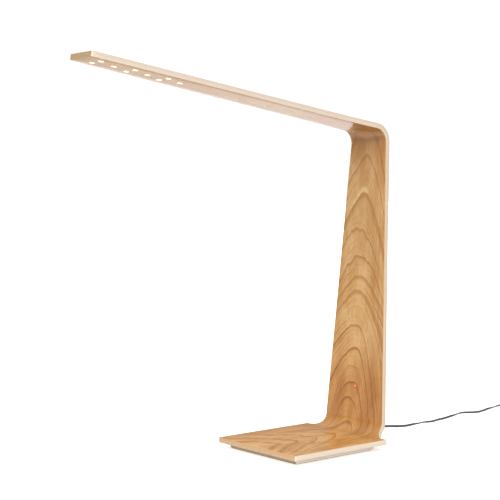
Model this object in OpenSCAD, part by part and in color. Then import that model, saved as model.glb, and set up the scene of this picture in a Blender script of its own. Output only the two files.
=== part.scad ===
// Desk lamp bent from one plywood ribbon: a flat base, a leaning stem and a long light arm.
// Nine small lights shine through the arm's underside, a lit push button sits low on the stem,
// a steel plate weights the base, and a thin low-voltage lead runs to a plug-in adapter.
// Millimetres. +Z is up, the arm points to -X, and the origin is the centre of the face it stands on.

/* [Base] */
// Length of the flat base, from its front edge to its shoulders
base_len = 150; // [130:1:180]
// Width of the base
base_w = 145; // [130:1:170]
// Radius of the hollow curve between a shoulder and the stem's side
shoulder_r = 17; // [8:0.5:18]
// Distance along the base's top from the shoulders back to the line of the stem's front face
stem_setback = 13.8; // [10:0.1:16]

/* [Stem] */
// Height of the corner under the arm above the base's top
stem_rise = 385; // [300:1:450]
// Angle that the stem leans back from upright
stem_lean = 4.05; // [0:0.05:8]
// Width of the stem at its foot
stem_foot_w = 104; // [90:1:108]
// Width of the stem at its top bend
stem_top_w = 61; // [50:0.5:80]

/* [Arm] */
// Length of the arm's underside, from the corner at the stem to the tip
arm_len = 438.3; // [380:0.1:480]
// Angle that the arm rises towards its tip
arm_tilt = 8.37; // [0:0.01:15]
// Width of the arm at its tip
arm_tip_w = 45; // [40:0.5:60]
// Width of the arm where it starts to widen into the bend
arm_neck_w = 56.4; // [50:0.2:60]
// Length over which the arm widens into the bend
arm_flare = 53; // [30:1:80]

/* [Ply] */
// Thickness of each face veneer
veneer_t = 0.6; // [0.4:0.1:1]
// Thickness of each inner and outer ply
ply_t = 1.3; // [1:0.1:2]
// Thickness of the core ply, which holds the boards and the wiring
core_t = 2.6; // [2.4:0.1:4]
// Radius of the lower bend on its hollow side
low_bend_r = 18; // [16:0.5:19]
// Radius of the upper bend on its hollow side
top_bend_r = 17; // [12:0.5:24]

/* [Foot] */
// Thickness of the steel plate under the base
plate_t = 6; // [4:0.5:10]
// Distance of the plate's edge inside the base's edge
plate_inset = 10; // [5:0.5:15]
// Thickness of the pad under the plate
pad_t = 1; // [0.5:0.1:2]
// Distance of the pad's edge inside the plate's edge
pad_inset = 1.5; // [0.5:0.1:4]
// Corner radius of the plate
plate_corner_r = 3; // [1:0.5:8]
// Diameter of the plate screws
screw_d = 3.5; // [3:0.1:4.5]
// Diameter of the screws' countersunk heads
screw_head_d = 7.2; // [6:0.1:9]
// Depth that the screws bite into the wood
screw_bite = 4.4; // [3:0.1:5]
// Distance of the screws inside the plate's edge
screw_inset = 15; // [10:0.5:25]

/* [Lights] */
// Number of rows of lights, alternately two and one to a row
light_rows = 6; // [2:1:8]
// Distance between rows
light_pitch = 22.4; // [18:0.1:26]
// Distance from the arm's tip to the first row
light_end = 20.5; // [16:0.5:30]
// Distance between the two lights of a pair
light_pair_w = 18; // [14:0.5:20]
// Diameter of a light's lens
lens_d = 7; // [5:0.1:8]
// Width of the rim that holds a lens behind the ply
lens_rim_w = 1; // [0.6:0.1:1.4]
// Thickness of that rim
lens_rim_t = 0.5; // [0.3:0.05:0.6]
// Side of a square light chip
chip_w = 3; // [2:0.1:3.5]
// Thickness of a light chip
chip_t = 0.7; // [0.5:0.05:0.8]
// Width of the light board
led_board_w = 32; // [30:0.5:36]
// Length of the light board past the first and last rows
led_board_end = 9; // [7:0.5:12]

/* [Switch] */
// Height of the button up the stem, from the corner at the stem's foot
button_h = 57; // [50:0.5:70]
// Diameter of the button
button_d = 7; // [6:0.1:8]
// Height of the button's face above the veneer
button_proud = 0.35; // [0.3:0.05:0.8]
// Travel of the button
button_travel = 0.25; // [0.15:0.05:0.25]
// Width of the button's rim behind the ply
button_rim_w = 1; // [0.6:0.1:1.5]
// Thickness of the button's rim
button_rim_t = 0.5; // [0.4:0.05:0.55]
// Diameter of the light pipe in the button's middle
pipe_d = 2.4; // [2.2:0.1:2.8]
// Side of the square switch under the button
switch_w = 7; // [6.5:0.1:8]
// Outer diameter of the switch's plunger
plunger_d = 4.2; // [3.8:0.1:4.6]

/* [Wiring] */
// Thickness of the light board and of the control board
board_t = 1; // [0.8:0.1:1.2]
// Width of the control board
control_w = 22; // [18:0.5:26]
// Length of the control board below the button
control_below = 22; // [16:0.5:26]
// Length of the control board above the button
control_above = 36; // [26:0.5:50]
// Width of the wiring channel in the core
channel_w = 14; // [12:0.5:18]
// Width of a copper supply tape
tape_w = 4; // [3:0.5:5]
// Thickness of a copper supply tape
tape_t = 0.2; // [0.1:0.05:0.3]
// Length of a tape that lies on a board
tape_lap = 6; // [4:0.5:8]
// Height of the cord gland above the end of the lower bend
gland_lift = 8.2; // [7:0.1:9]
// Diameter of the gland's sleeve in the back of the stem
gland_sleeve_d = 6; // [5.6:0.1:7]
// Diameter of the gland's flange
gland_flange_d = 10; // [8:0.5:14]
// Thickness of the gland's flange
gland_flange_t = 1.4; // [1:0.1:2]
// Length of the gland's tapered tail
gland_tail = 15; // [10:0.5:20]
// Diameter of each of the two wires inside the gland
wire_d = 1; // [0.8:0.1:1.2]

/* [Cord] */
// Diameter of the cord
cord_d = 3.2; // [2.8:0.1:3.4]
// Radius of the middle of the coil's turns
coil_r = 18; // [16:0.1:20]
// Clear space between the coil's turns
coil_gap = 0.6; // [0.6:0.05:1]
// Turns in each layer of the coil
coil_layer_turns = 3; // [2:1:3]
// Width of the tie round the coil
tie_w = 6; // [4:0.5:8]
// Thickness of the tie
tie_t = 0.8; // [0.5:0.1:1.2]

/* [Adapter] */
// Width of the plug-in adapter
adapter_w = 40; // [38:0.5:50]
// Height of the adapter as it lies on the table
adapter_t = 28; // [24:0.5:28]
// Length of the adapter's casing
adapter_len = 62; // [56:0.5:80]
// Wall of the casing
adapter_wall = 2; // [1.5:0.1:3]
// Corner radius of the casing
adapter_corner_r = 5; // [3:0.5:8]
// Length of the casing's front shell, on the pins' side
adapter_front_len = 26; // [20:0.5:30]
// Depth of the lip that joins the two shells
adapter_lip = 3; // [2:0.5:4]
// Diameter of a plug pin
pin_d = 4; // [3.9:0.1:4.1]
// Length of a plug pin outside the casing
pin_len = 19; // [17:0.5:21]
// Distance between the two plug pins
pin_gap = 18.6; // [17:0.1:20]
// Length of the strain relief where the cord enters the adapter
relief_len = 20; // [15:0.5:30]

/* [Fits] */
// Clearance round pieces that are set into the wood
wood_gap = 0.05; // [0.02:0.01:0.1]
// Clearance round the moving button
button_gap = 0.15; // [0.1:0.01:0.2]
// Clearance of boards in their pockets
pocket_gap = 0.3; // [0.1:0.05:0.5]

/* [Hidden] */
$fn = 64;

// Colours
veneer_colour = [0.76, 0.58, 0.37];
ply_colour = [0.93, 0.85, 0.74];
steel_colour = [0.70, 0.69, 0.65];
dark_colour = [0.20, 0.22, 0.24];
cord_colour = [0.26, 0.31, 0.33];
copper_colour = [0.80, 0.48, 0.28];
lens_colour = [1.00, 0.97, 0.86];

// Depths below the ribbon's hollow side: base top, stem front and arm underside
inner_d = veneer_t;
core_d = inner_d + ply_t;
outer_d = core_d + core_t;
back_d = outer_d + ply_t;
ribbon_t = back_d + veneer_t;
board_d = outer_d - board_t;

// Corner lines of the ribbon's hollow side, in the XZ plane
base_top = pad_t + plate_t + ribbon_t;
base_bottom = pad_t + plate_t;
shoulder_x = base_len / 2;
stem_len = stem_rise / cos(stem_lean);
up_stem = [sin(stem_lean), cos(stem_lean)];
front_of_stem = [-cos(stem_lean), sin(stem_lean)];
along_arm = [-cos(arm_tilt), sin(arm_tilt)];
above_arm = [sin(arm_tilt), cos(arm_tilt)];
low_corner = [shoulder_x + stem_setback, base_top];
top_corner = low_corner + stem_len * up_stem;
arm_tip = top_corner + arm_len * along_arm;

// Bends between the straight runs
bend_steps = 20;
low_turn = 90 - stem_lean;
top_turn = 90 - arm_tilt + stem_lean;
low_tangent = low_bend_r * tan(low_turn / 2);
top_tangent = top_bend_r * tan(top_turn / 2);
low_centre = low_corner + [-low_tangent, low_bend_r];
top_centre = top_corner - top_tangent * up_stem + top_bend_r * front_of_stem;

// Heights where the stem's tapered sides begin and end, a little inside the bends' ends
side_margin = 2;
stem_start_z = base_top + low_bend_r * (1 - cos(low_turn)) + side_margin;
stem_end_z = top_corner[1] - top_tangent * cos(stem_lean) - side_margin;
// Half width of the stem at a height
function stem_half_w(z) =
    let (share = (z - base_top) / stem_rise)
    (stem_foot_w + (stem_top_w - stem_foot_w) * share) / 2;
foot_w = stem_half_w(stem_start_z);
top_w = stem_half_w(stem_end_z);
// Corners of the arm's plan: where the flare starts, just past the bend, and where it ends
arm_bend_x = top_corner[0] - (top_tangent + side_margin) * cos(arm_tilt);
arm_neck_x = arm_bend_x - arm_flare;

// The shoulders are cut square to the sheet at this angle round the lower bend
shoulder_cut = 20;
shoulder_turn = asin((low_tangent - stem_setback) / low_bend_r);
shoulder_t = low_bend_r * sin(shoulder_turn - shoulder_cut);
// The hollow curve leaves a little straight shoulder and ends inside the bend
fillet_turn = 55;
fillet = min(shoulder_r, base_w / 2 - foot_w - 0.5, low_bend_r * sin(fillet_turn) - shoulder_t);
fillet_steps = 10;
// Length that is longer than any piece, for cutting tools
far = base_len + stem_rise + arm_len;
// Overlap of a cutting tool past the face that it cuts
over = 0.5;

// Places of the lights as [distance from the corner along the arm, across]
light_places = [
    for (row = [0:light_rows - 1])
        for (side = row % 2 == 0 ? [-1, 1] : [0])
            [arm_len - light_end - row * light_pitch, side * light_pair_w / 2]
];
led_board_start = arm_len - light_end - (light_rows - 1) * light_pitch - led_board_end;
led_board_stop = arm_len - light_end + led_board_end;
lens_rim_d = lens_d + 2 * lens_rim_w;

// Control board and its pocket, up the stem
control_low = button_h - control_below;
control_high = button_h + control_above;
button_rim_d = button_d + 2 * button_rim_w;
// The rim rests this far behind the ply
button_seat_d = core_d + wood_gap;
button_back_d = button_seat_d + button_rim_t;
// Space left behind the rim when the button is pressed home
stop_gap = 0.1;
switch_d = button_back_d + button_travel + stop_gap;
// Depth of the plunger inside the switch at rest
plunger_entry = 0.1;
indicator_size = [1.6, 0.8, 0.35];
gland_h = low_tangent + gland_lift;
gland_bore_d = 2 * wire_d + 1.2;
gland_end = ribbon_t + gland_flange_t + gland_tail;
wire_turn_d = board_d - wire_d / 2;
wire_y = wire_d / 2 + 0.1;
wire_lap = 4;

// Plate screws
plate_len = base_len - 2 * plate_inset;
plate_w = base_w - 2 * plate_inset;
screw_x = plate_len / 2 - screw_inset;
screw_y = plate_w / 2 - screw_inset;
screw_places = [for (x = [-screw_x, screw_x]) for (y = [-screw_y, screw_y]) [x, y]];
screw_head_t = (screw_head_d - screw_d) / 2;

// Cord: from the gland's end down to the table, then along it to the coil
cord_r = cord_d / 2;
function stem_point(h, depth) =
    let (p = low_corner + h * up_stem - depth * front_of_stem)
    [p[0], 0, p[1]];
cord_exit = [for (run = [0:2]) stem_point(gland_h, gland_end + run * cord_d)];
// Points of the route on and above the table, as [x, y, height of the cord's underside]
cord_route = [
    [130, 4, 27.5], [141, 11, 18], [152, 20, 9], [163, 29, 3], [175, 33.5, 0.4], [186, 31, 0],
    [192, 26, 0], [197.5, 21.5, 0], [205, 18.2, 0], [214, 17.8, 0], [225, 19.8, 0], [236, 21.4, 0],
    [246, 21.5, 0], [253, 18.4, 0], [262, 17, 0], [275, 19.8, 0], [287, 20.9, 0], [301, 24.2, 0],
    [318, 29.5, 0], [333, 34.2, 0], [344, 34.5, 0], [351, 30.2, 0], [358, 25.7, 0], [367, 23.4, 0],
    [381, 26.4, 0], [398, 31.7, 0], [415, 36.6, 0], [431, 38.8, 0], [446, 37.5, 0.4]
];
coil_centre = [475, 12];
coil_layers = 4;
coil_pitch = cord_d + coil_gap;
coil_inner_r = coil_r - coil_layer_turns * coil_pitch / 2;
coil_outer_r = coil_inner_r + coil_layer_turns * coil_pitch;
tie_gap = 0.2;
coil_base_z = tie_t + tie_gap + cord_r;
coil_top_z = coil_base_z + (coil_layers - 1) * coil_pitch;
// The coil starts at its far side from the adapter and leaves it a quarter turn on
coil_turns = coil_layers * coil_layer_turns + 0.25;
coil_steps = 24;
coil_exit_r = coil_outer_r + coil_pitch / 4;
coil_entry = [coil_centre[0], coil_centre[1] + coil_outer_r, coil_base_z];
// The lead runs straight out of the gland and straight into the coil's own straight end
coil_end = coil_entry - [cord_d, 0, 0];
lead_points = concat(
    cord_exit,
    [for (p = cord_route) p + [0, 0, cord_r]],
    [for (run = [2:-1:0]) coil_end - [run * cord_d, 0, 0]]
);
lead_steps = 2;
lead_sides = 8;
coil_sides = 6;

// Adapter, lying on the table with its cord end towards the coil
adapter_x = coil_centre[0] + coil_exit_r;
coil_tail = 22;
relief_end_y = coil_centre[1] - coil_tail;
adapter_back_y = relief_end_y - relief_len;
adapter_seam_y = adapter_back_y - adapter_len + adapter_front_len;
adapter_front_y = adapter_back_y - adapter_len;
adapter_board_gap = 4;
adapter_board_w = adapter_w - 2 * adapter_wall - adapter_board_gap;
adapter_board_len = adapter_len - 2 * adapter_wall - 2 * adapter_board_gap;
adapter_board_t = 1.6;
adapter_board_z = adapter_wall + adapter_board_gap;
adapter_board_top = adapter_board_z + adapter_board_t;
transformer_w = 16;
transformer_len = 15;
transformer_h = 13;
capacitor_d = 9;
capacitor_h = 14;
pin_root = 5;
pin_root_d = pin_d + 0.8;
relief_root_d = cord_d + 5;

// Points round a bend at a depth below the hollow side
function bend_points(centre, radius, start, turn) =
    [for (k = [0:bend_steps])
        let (angle = start + turn * k / bend_steps)
        centre + radius * [cos(angle), sin(angle)]];

// Side view of the ribbon's surface at a depth below the hollow side, from the base's front to the tip
function surface_line(depth) =
    concat(
        [[-base_len / 2, base_top - depth]],
        bend_points(low_centre, low_bend_r + depth, -90, low_turn),
        bend_points(top_centre, top_bend_r + depth, -stem_lean, top_turn),
        [arm_tip + depth * above_arm]
    );

function reversed(list) = [for (i = [len(list) - 1:-1:0]) list[i]];

// Side view of the ribbon between two depths, as a wide band
module band(d0, d1) {
    rotate([90, 0, 0])
    linear_extrude(2 * base_w, center = true)
        polygon(concat(surface_line(d0), reversed(surface_line(d1))));
}

// Closes a half outline with its mirror image across the second axis or the first
function mirrored(half, axis) =
    concat(half, reversed([for (p = half) axis == 1 ? [p[0], -p[1]] : [-p[0], p[1]]]));

// Base, shoulders and the stem's foot, cut square to the lower bend
module foot_outline() {
    centre = [shoulder_t + fillet, foot_w + fillet];
    curve = [
        for (k = [0:fillet_steps])
            let (angle = 180 + 90 * k / fillet_steps)
            centre + fillet * [cos(angle), sin(angle)]
    ];
    half = concat([[-far, base_w / 2], [shoulder_t, base_w / 2]], curve, [[far, foot_w]]);
    translate([low_centre[0], 0, low_centre[1]])
    rotate([0, -shoulder_cut, 0])
    linear_extrude(2 * far, center = true)
        polygon(mirrored(half, 1));
}

// Stem seen from the front: wide below its foot, tapered, and as wide as its top above that
module stem_outline() {
    step_z = stem_start_z - 2 * side_margin;
    half = [
        [base_w, -1], [base_w, step_z], [stem_half_w(step_z), step_z], [top_w, stem_end_z], [top_w, far]
    ];
    rotate([90, 0, 90])
    linear_extrude(2 * far, center = true)
        polygon(mirrored(half, 0));
}

// Arm seen from above, flaring into the bend, over a block that leaves the stem and the base whole
module arm_outline() {
    arm_z = stem_end_z - side_margin;
    flare_slope = (top_w - arm_neck_w / 2) / arm_flare;
    bend_w = top_w + side_margin * flare_slope;
    half = [
        [arm_tip[0] - ribbon_t, arm_tip_w / 2], [arm_tip[0], arm_tip_w / 2], [arm_neck_x, arm_neck_w / 2],
        [arm_bend_x + side_margin, bend_w], [arm_bend_x + base_w, bend_w + base_w]
    ];
    translate([0, 0, arm_z])
    linear_extrude(far)
        polygon(mirrored(half, 1));
    translate([-far, -base_w, -1])
        cube([2 * far, 2 * base_w, arm_z + side_margin]);
}

// One layer of the ribbon, between two depths
module layer(d0, d1) {
    intersection() {
        band(d0, d1);
        foot_outline();
        stem_outline();
        arm_outline();
    }
}

// Places its children on the stem's front: x across, y up the stem, z out of the face
module on_stem(h) {
    translate([low_corner[0], 0, low_corner[1]])
    rotate([0, stem_lean, 0])
    rotate([90, 0, -90])
    translate([0, h, 0])
        children();
}

// Places its children on the arm's underside: x across, y towards the tip, z out of the face
module on_arm(run) {
    translate([top_corner[0], 0, top_corner[1]])
    rotate([0, arm_tilt - 90, 0])
    rotate([90, 0, -90])
    translate([0, run, 0])
        children();
}

// Disc between two depths below the face that its parent places it on
module disc(diameter, d0, d1) {
    translate([0, 0, -d1])
        cylinder(d = diameter, h = d1 - d0);
}

// Block between two depths, centred across and running up from the place
module block(width, length, d0, d1) {
    translate([-width / 2, 0, -d1])
        cube([width, length, d1 - d0]);
}

// Holes for the lenses, between two depths
module lens_holes(d0, d1) {
    for (place = light_places)
        on_arm(place[0])
        translate([place[1], 0, 0])
            disc(lens_d + 2 * wood_gap, d0, d1);
}

// Hole for the button, between two depths
module button_hole(d0, d1) {
    on_stem(button_h)
        disc(button_d + 2 * button_gap, d0, d1);
}

// Hole for the gland's sleeve, between two depths
module gland_hole(d0, d1) {
    on_stem(gland_h)
        disc(gland_sleeve_d + 2 * wood_gap, d0, d1);
}

// Holes for the plate screws, up to their tips
module screw_holes() {
    for (place = screw_places)
        translate([place[0], place[1], 0])
            cylinder(d = screw_d + 2 * wood_gap, h = base_bottom + screw_bite + wood_gap);
}

module inner_veneer() {
    color(veneer_colour)
    difference() {
        layer(0, inner_d);
        lens_holes(-over, inner_d + over);
        button_hole(-over, inner_d + over);
    }
}

module inner_ply() {
    color(ply_colour)
    difference() {
        layer(inner_d, core_d);
        lens_holes(inner_d - over, core_d + over);
        button_hole(inner_d - over, core_d + over);
    }
}

// Core with the light board's pocket, the control board's pocket and the channel between them
module core_ply() {
    color(ply_colour)
    difference() {
        layer(core_d, outer_d);
        screw_holes();
        on_arm(led_board_start - pocket_gap)
            block(
                led_board_w + 2 * pocket_gap, led_board_stop - led_board_start + 2 * pocket_gap,
                core_d - over, outer_d + over
            );
        on_stem(gland_h - gland_sleeve_d)
            block(
                control_w + 2 * pocket_gap, control_high - gland_h + gland_sleeve_d + pocket_gap,
                core_d - over, outer_d + over
            );
        channel_x = top_corner[0] + led_board_start * along_arm[0];
        channel_z = stem_point(button_h, 0)[2];
        translate([channel_x, -channel_w / 2, channel_z])
            cube([far, channel_w, far]);
    }
}

module outer_ply() {
    color(ply_colour)
    difference() {
        layer(outer_d, back_d);
        screw_holes();
        gland_hole(outer_d - over, back_d + over);
    }
}

module outer_veneer() {
    color(veneer_colour)
    difference() {
        layer(back_d, ribbon_t);
        screw_holes();
        gland_hole(back_d - over, ribbon_t + over);
    }
}

// Flat plate with round corners
module rounded_plate(length, width, radius, thickness) {
    linear_extrude(thickness)
    rounded_rectangle(length, width, radius);
}

module rounded_rectangle(length, width, radius) {
    union() {
        square([length - 2 * radius, width], center = true);
        square([length, width - 2 * radius], center = true);
        for (x = [-1, 1])
            for (y = [-1, 1])
                translate([x * (length / 2 - radius), y * (width / 2 - radius)])
                    circle(r = radius);
    }
}

module weight_plate() {
    color(steel_colour)
    difference() {
        translate([0, 0, pad_t])
            rounded_plate(plate_len, plate_w, plate_corner_r, plate_t);
        for (place = screw_places)
            translate([place[0], place[1], pad_t])
                screw_shape(wood_gap);
    }
}

module base_pad() {
    color(dark_colour)
        rounded_plate(plate_len - 2 * pad_inset, plate_w - 2 * pad_inset, plate_corner_r, pad_t);
}

// Countersunk screw with its head down, or the room for it with a clearance
module screw_shape(gap) {
    radius = screw_d / 2 + gap;
    head_radius = screw_head_d / 2 + gap;
    length = plate_t + screw_bite;
    rotate_extrude()
        polygon([
            [0, 0], [head_radius, 0], [radius, screw_head_t], [radius, length], [0, length]
        ]);
}

module plate_screws() {
    color("silver")
        for (place = screw_places)
            translate([place[0], place[1], pad_t])
                screw_shape(0);
}

module led_board() {
    color("whitesmoke")
    on_arm(led_board_start)
        block(led_board_w, led_board_stop - led_board_start, board_d, outer_d);
}

module led_chips() {
    color("khaki")
    for (place = light_places)
        on_arm(place[0] - chip_w / 2)
        translate([place[1], 0, 0])
            block(chip_w, chip_w, board_d - chip_t, board_d);
}

module lens_discs() {
    color(lens_colour)
    for (place = light_places)
        on_arm(place[0])
        translate([place[1], 0, 0])
        union() {
            disc(lens_d, 0, core_d);
            disc(lens_rim_d, core_d, core_d + lens_rim_t);
        }
}

// Copper tape on one side of the channel, from the control board to the light board
module supply_tape(side) {
    tape_x = top_corner[0] + (led_board_start + tape_lap) * along_arm[0];
    tape_z = stem_point(control_high - tape_lap, 0)[2];
    tape_y = channel_w / 4;
    color(copper_colour)
    intersection() {
        band(board_d - tape_t, board_d);
        translate([tape_x, side * tape_y - tape_w / 2, tape_z])
            cube([far, tape_w, far]);
    }
}

module supply_tape_positive() {
    supply_tape(1);
}

module supply_tape_negative() {
    supply_tape(-1);
}

module control_board() {
    color("seagreen")
    on_stem(control_low)
        block(control_w, control_high - control_low, board_d, outer_d);
}

module dimmer_chip() {
    chip_size = [5, 4, 1.2];
    color(dark_colour)
    on_stem(button_h + switch_w)
    translate([-control_w / 4, 0, 0])
        block(chip_size[0], chip_size[1], board_d - chip_size[2], board_d);
}

module power_inductor() {
    inductor_size = [6, 6, 1.4];
    color("dimgray")
    on_stem(button_h + switch_w)
    translate([control_w / 4, 0, 0])
        block(inductor_size[0], inductor_size[1], board_d - inductor_size[2], board_d);
}

module indicator_led() {
    color("red")
    on_stem(button_h - indicator_size[1] / 2)
        block(indicator_size[0], indicator_size[1], board_d - indicator_size[2], board_d);
}

// Square switch, open in the middle for the plunger and the indicator light
module tact_switch() {
    color("dimgray")
    difference() {
        on_stem(button_h - switch_w / 2)
            block(switch_w, switch_w, switch_d, board_d);
        on_stem(button_h)
            disc(plunger_d + 2 * button_gap, switch_d - over, board_d + over);
    }
}

module switch_plunger() {
    color("white")
    on_stem(button_h)
    difference() {
        disc(plunger_d, button_back_d, switch_d + plunger_entry);
        disc(pipe_d + 2 * wood_gap, button_back_d - over, switch_d + plunger_entry + over);
    }
}

module switch_button() {
    color([0.78, 0.22, 0.16])
    on_stem(button_h)
    difference() {
        union() {
            disc(button_d, -button_proud, button_seat_d);
            disc(button_rim_d, button_seat_d, button_back_d);
        }
        disc(pipe_d + 2 * wood_gap, -button_proud - over, button_back_d + over);
    }
}

module button_light_pipe() {
    color([1, 0.78, 0.72])
    on_stem(button_h)
        disc(pipe_d, -button_proud, button_back_d);
}

// Bush in the back of the stem with a flange and a tapered tail
module cord_gland() {
    color(dark_colour)
    on_stem(gland_h)
    rotate([180, 0, 0])
    rotate_extrude()
        polygon([
            [gland_bore_d / 2, outer_d], [gland_sleeve_d / 2, outer_d],
            [gland_sleeve_d / 2, ribbon_t], [gland_flange_d / 2, ribbon_t],
            [gland_flange_d / 2, ribbon_t + gland_flange_t],
            [gland_flange_d / 2 - 1, ribbon_t + gland_flange_t],
            [cord_r + 0.6, gland_end], [gland_bore_d / 2, gland_end]
        ]);
}

// The lead's two wires, from the cord's end through the gland and up to the control board
module lead_wires() {
    color("firebrick")
    for (side = [-1, 1])
        union() {
            on_stem(gland_h)
            translate([side * wire_y, 0, 0])
                disc(wire_d, wire_turn_d, gland_end);
            on_stem(gland_h)
            translate([side * wire_y, 0, -wire_turn_d])
            rotate([-90, 0, 0])
                cylinder(d = wire_d, h = control_low + wire_lap - gland_h);
            on_stem(gland_h)
            translate([side * wire_y, 0, -wire_turn_d])
                sphere(d = wire_d);
        }
}

// Point on a smooth curve through the middle two of four points
function curve_point(p0, p1, p2, p3, t) =
    0.5 * (2 * p1 + (p2 - p0) * t + (2 * p0 - 5 * p1 + 4 * p2 - p3) * t * t
        + (3 * p1 - p0 - 3 * p2 + p3) * t * t * t);

// Point of a list, or the point that carries its first or last step on past the end
function point_at(points, i) =
    i < 0 ? 2 * points[0] - points[1]
    : i >= len(points) ? 2 * points[len(points) - 1] - points[len(points) - 2]
    : points[i];

// Smooth curve through a list of points
function smooth_curve(points, steps) =
    let (last = len(points) - 1)
    concat(
        [for (i = [0:last - 1])
            for (k = [0:steps - 1])
                curve_point(
                    point_at(points, i - 1), points[i], points[i + 1], point_at(points, i + 2), k / steps
                )],
        [points[last]]
    );

// Length of a line through points
function path_length(points) =
    let (steps = [for (i = [1:len(points) - 1]) norm(points[i] - points[i - 1])])
    steps * [for (step = steps) 1];

function unit(v) = v / norm(v);

// Direction of a path at one of its points
function path_direction(path, i) =
    unit(path[min(i + 1, len(path) - 1)] - path[max(i - 1, 0)]);

// Tube of triangles swept along a path that never runs straight up
module swept_tube(path, radius, sides) {
    last = len(path) - 1;
    rings = [
        for (i = [0:last])
            let (
                along = path_direction(path, i),
                across = unit(cross(along, [0, 0, 1])),
                above = cross(across, along)
            )
            for (k = [0:sides - 1])
                let (angle = 360 * (k + 0.5) / sides)
                path[i] + radius * (cos(angle) * across + sin(angle) * above)
    ];
    walls = [
        for (i = [0:last - 1])
            for (k = [0:sides - 1])
                let (
                    a = i * sides + k,
                    b = i * sides + (k + 1) % sides,
                    c = a + sides,
                    d = b + sides
                )
                each [[a, c, b], [b, c, d]]
    ];
    end = last * sides;
    start_cap = [for (k = [1:sides - 2]) [0, k, k + 1]];
    end_cap = [for (k = [1:sides - 2]) [end, end + k + 1, end + k]];
    polyhedron(rings, concat(walls, start_cap, end_cap));
}

module cord_lead() {
    lead_path = smooth_curve(lead_points, lead_steps);
    echo(lead_length = path_length(lead_path), lead_rings = len(lead_path));
    color(cord_colour)
        swept_tube(lead_path, cord_r, lead_sides);
}

// Share of a climb that is done, easing in and out
function eased(t) = t * t * (3 - 2 * t);

// Distance in turns from the coil's inner radius after a number of turns: in, out, in and out again
function coil_spread(turn) =
    turn > (coil_layers - 1) * coil_layer_turns
        ? turn - (coil_layers - 1) * coil_layer_turns
        : abs(turn % (2 * coil_layer_turns) - coil_layer_turns);

// Layers climbed after a number of turns: each climb takes the half turn where the spiral reverses
function coil_climb(turn) =
    let (
        layer = floor(turn / coil_layer_turns + 0.5),
        from_reversal = turn - layer * coil_layer_turns,
        done = min(1, max(0, 2 * from_reversal + 0.5))
    )
    layer < 1 ? 0 : layer > coil_layers - 1 ? coil_layers - 1 : layer - 1 + eased(done);

// Point of the coil after a number of turns
function coil_point(turn) =
    let (
        radius = coil_inner_r + coil_pitch * coil_spread(turn),
        angle = 90 - 360 * turn
    )
    [
        coil_centre[0] + radius * cos(angle),
        coil_centre[1] + radius * sin(angle),
        coil_base_z + coil_pitch * coil_climb(turn)
    ];

// Least distance between points of a path that lie apart along it
function least_gap(path, apart) =
    min([
        for (i = [0:len(path) - 1])
            for (j = [i + apart:1:len(path) - 1])
                norm(path[i] - path[j])
    ]);

module cord_coil() {
    loops = [for (k = [0:coil_turns * coil_steps]) coil_point(k / coil_steps)];
    tail = [for (run = [cord_d, coil_tail / 2, coil_tail - cord_d, coil_tail])
        [adapter_x, coil_centre[1] - run, coil_top_z]];
    path = concat([coil_end], loops, tail);
    fine = [for (k = [0:coil_turns * 2 * coil_steps]) coil_point(k / (2 * coil_steps))];
    echo(coil_length = path_length(path), coil_gap_to_itself = least_gap(fine, coil_steps) - cord_d);
    color(cord_colour)
        swept_tube(path, cord_r, coil_sides);
}

// Strap round the coil's turns, on the side towards the lamp
module cord_tie() {
    strap_in = coil_inner_r - cord_r;
    strap_out = coil_outer_r + cord_r;
    hole_z = coil_base_z - cord_r - tie_gap;
    hole_t = coil_top_z + cord_r + tie_gap - hole_z;
    translate([coil_centre[0], coil_centre[1], 0])
    color(dark_colour)
    rotate([90, 0, 0])
    linear_extrude(tie_w, center = true)
    difference() {
        translate([-strap_out - tie_t, hole_z - tie_t])
            square([strap_out - strap_in + 2 * tie_t, hole_t + 2 * tie_t]);
        translate([-strap_out, hole_z])
            square([strap_out - strap_in, hole_t]);
    }
}

// Places its children in the adapter: x across, y up, z from the cord's end towards the pins
module on_adapter(y) {
    translate([adapter_x, y, adapter_t / 2])
    rotate([90, 0, 0])
        children();
}

// Casing outline less an inset, with round corners
module adapter_outline(inset) {
    rounded_rectangle(
        adapter_w - 2 * inset, adapter_t - 2 * inset, max(adapter_corner_r - inset, 0.5)
    );
}

module adapter_relief() {
    neck_d = cord_d + 1.4;
    flange_d = relief_root_d + 4;
    color(dark_colour)
    on_adapter(relief_end_y)
    rotate_extrude()
        polygon([
            [0, 0], [neck_d / 2, 0], [relief_root_d / 2, relief_len],
            [relief_root_d / 2, relief_len + adapter_wall],
            [flange_d / 2, relief_len + adapter_wall], [flange_d / 2, relief_len + 2 * adapter_wall],
            [0, relief_len + 2 * adapter_wall]
        ]);
}

// Back shell with the cord's hole and two ribs that carry the board
module adapter_back_shell() {
    shell_len = adapter_len - adapter_front_len;
    rib_w = 2;
    color(dark_colour)
    on_adapter(adapter_back_y)
    union() {
        difference() {
            linear_extrude(shell_len)
                adapter_outline(0);
            translate([0, 0, adapter_wall])
            linear_extrude(shell_len)
                adapter_outline(adapter_wall);
            translate([0, 0, -over])
                cylinder(d = relief_root_d + 2 * wood_gap, h = adapter_wall + 2 * over);
        }
        for (side = [-1, 1])
            translate([side * (adapter_board_w - rib_w) / 2 - rib_w / 2, 1 - adapter_t / 2, 1])
                cube([rib_w, adapter_board_z - 1, shell_len - adapter_lip - 2]);
    }
}

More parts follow.
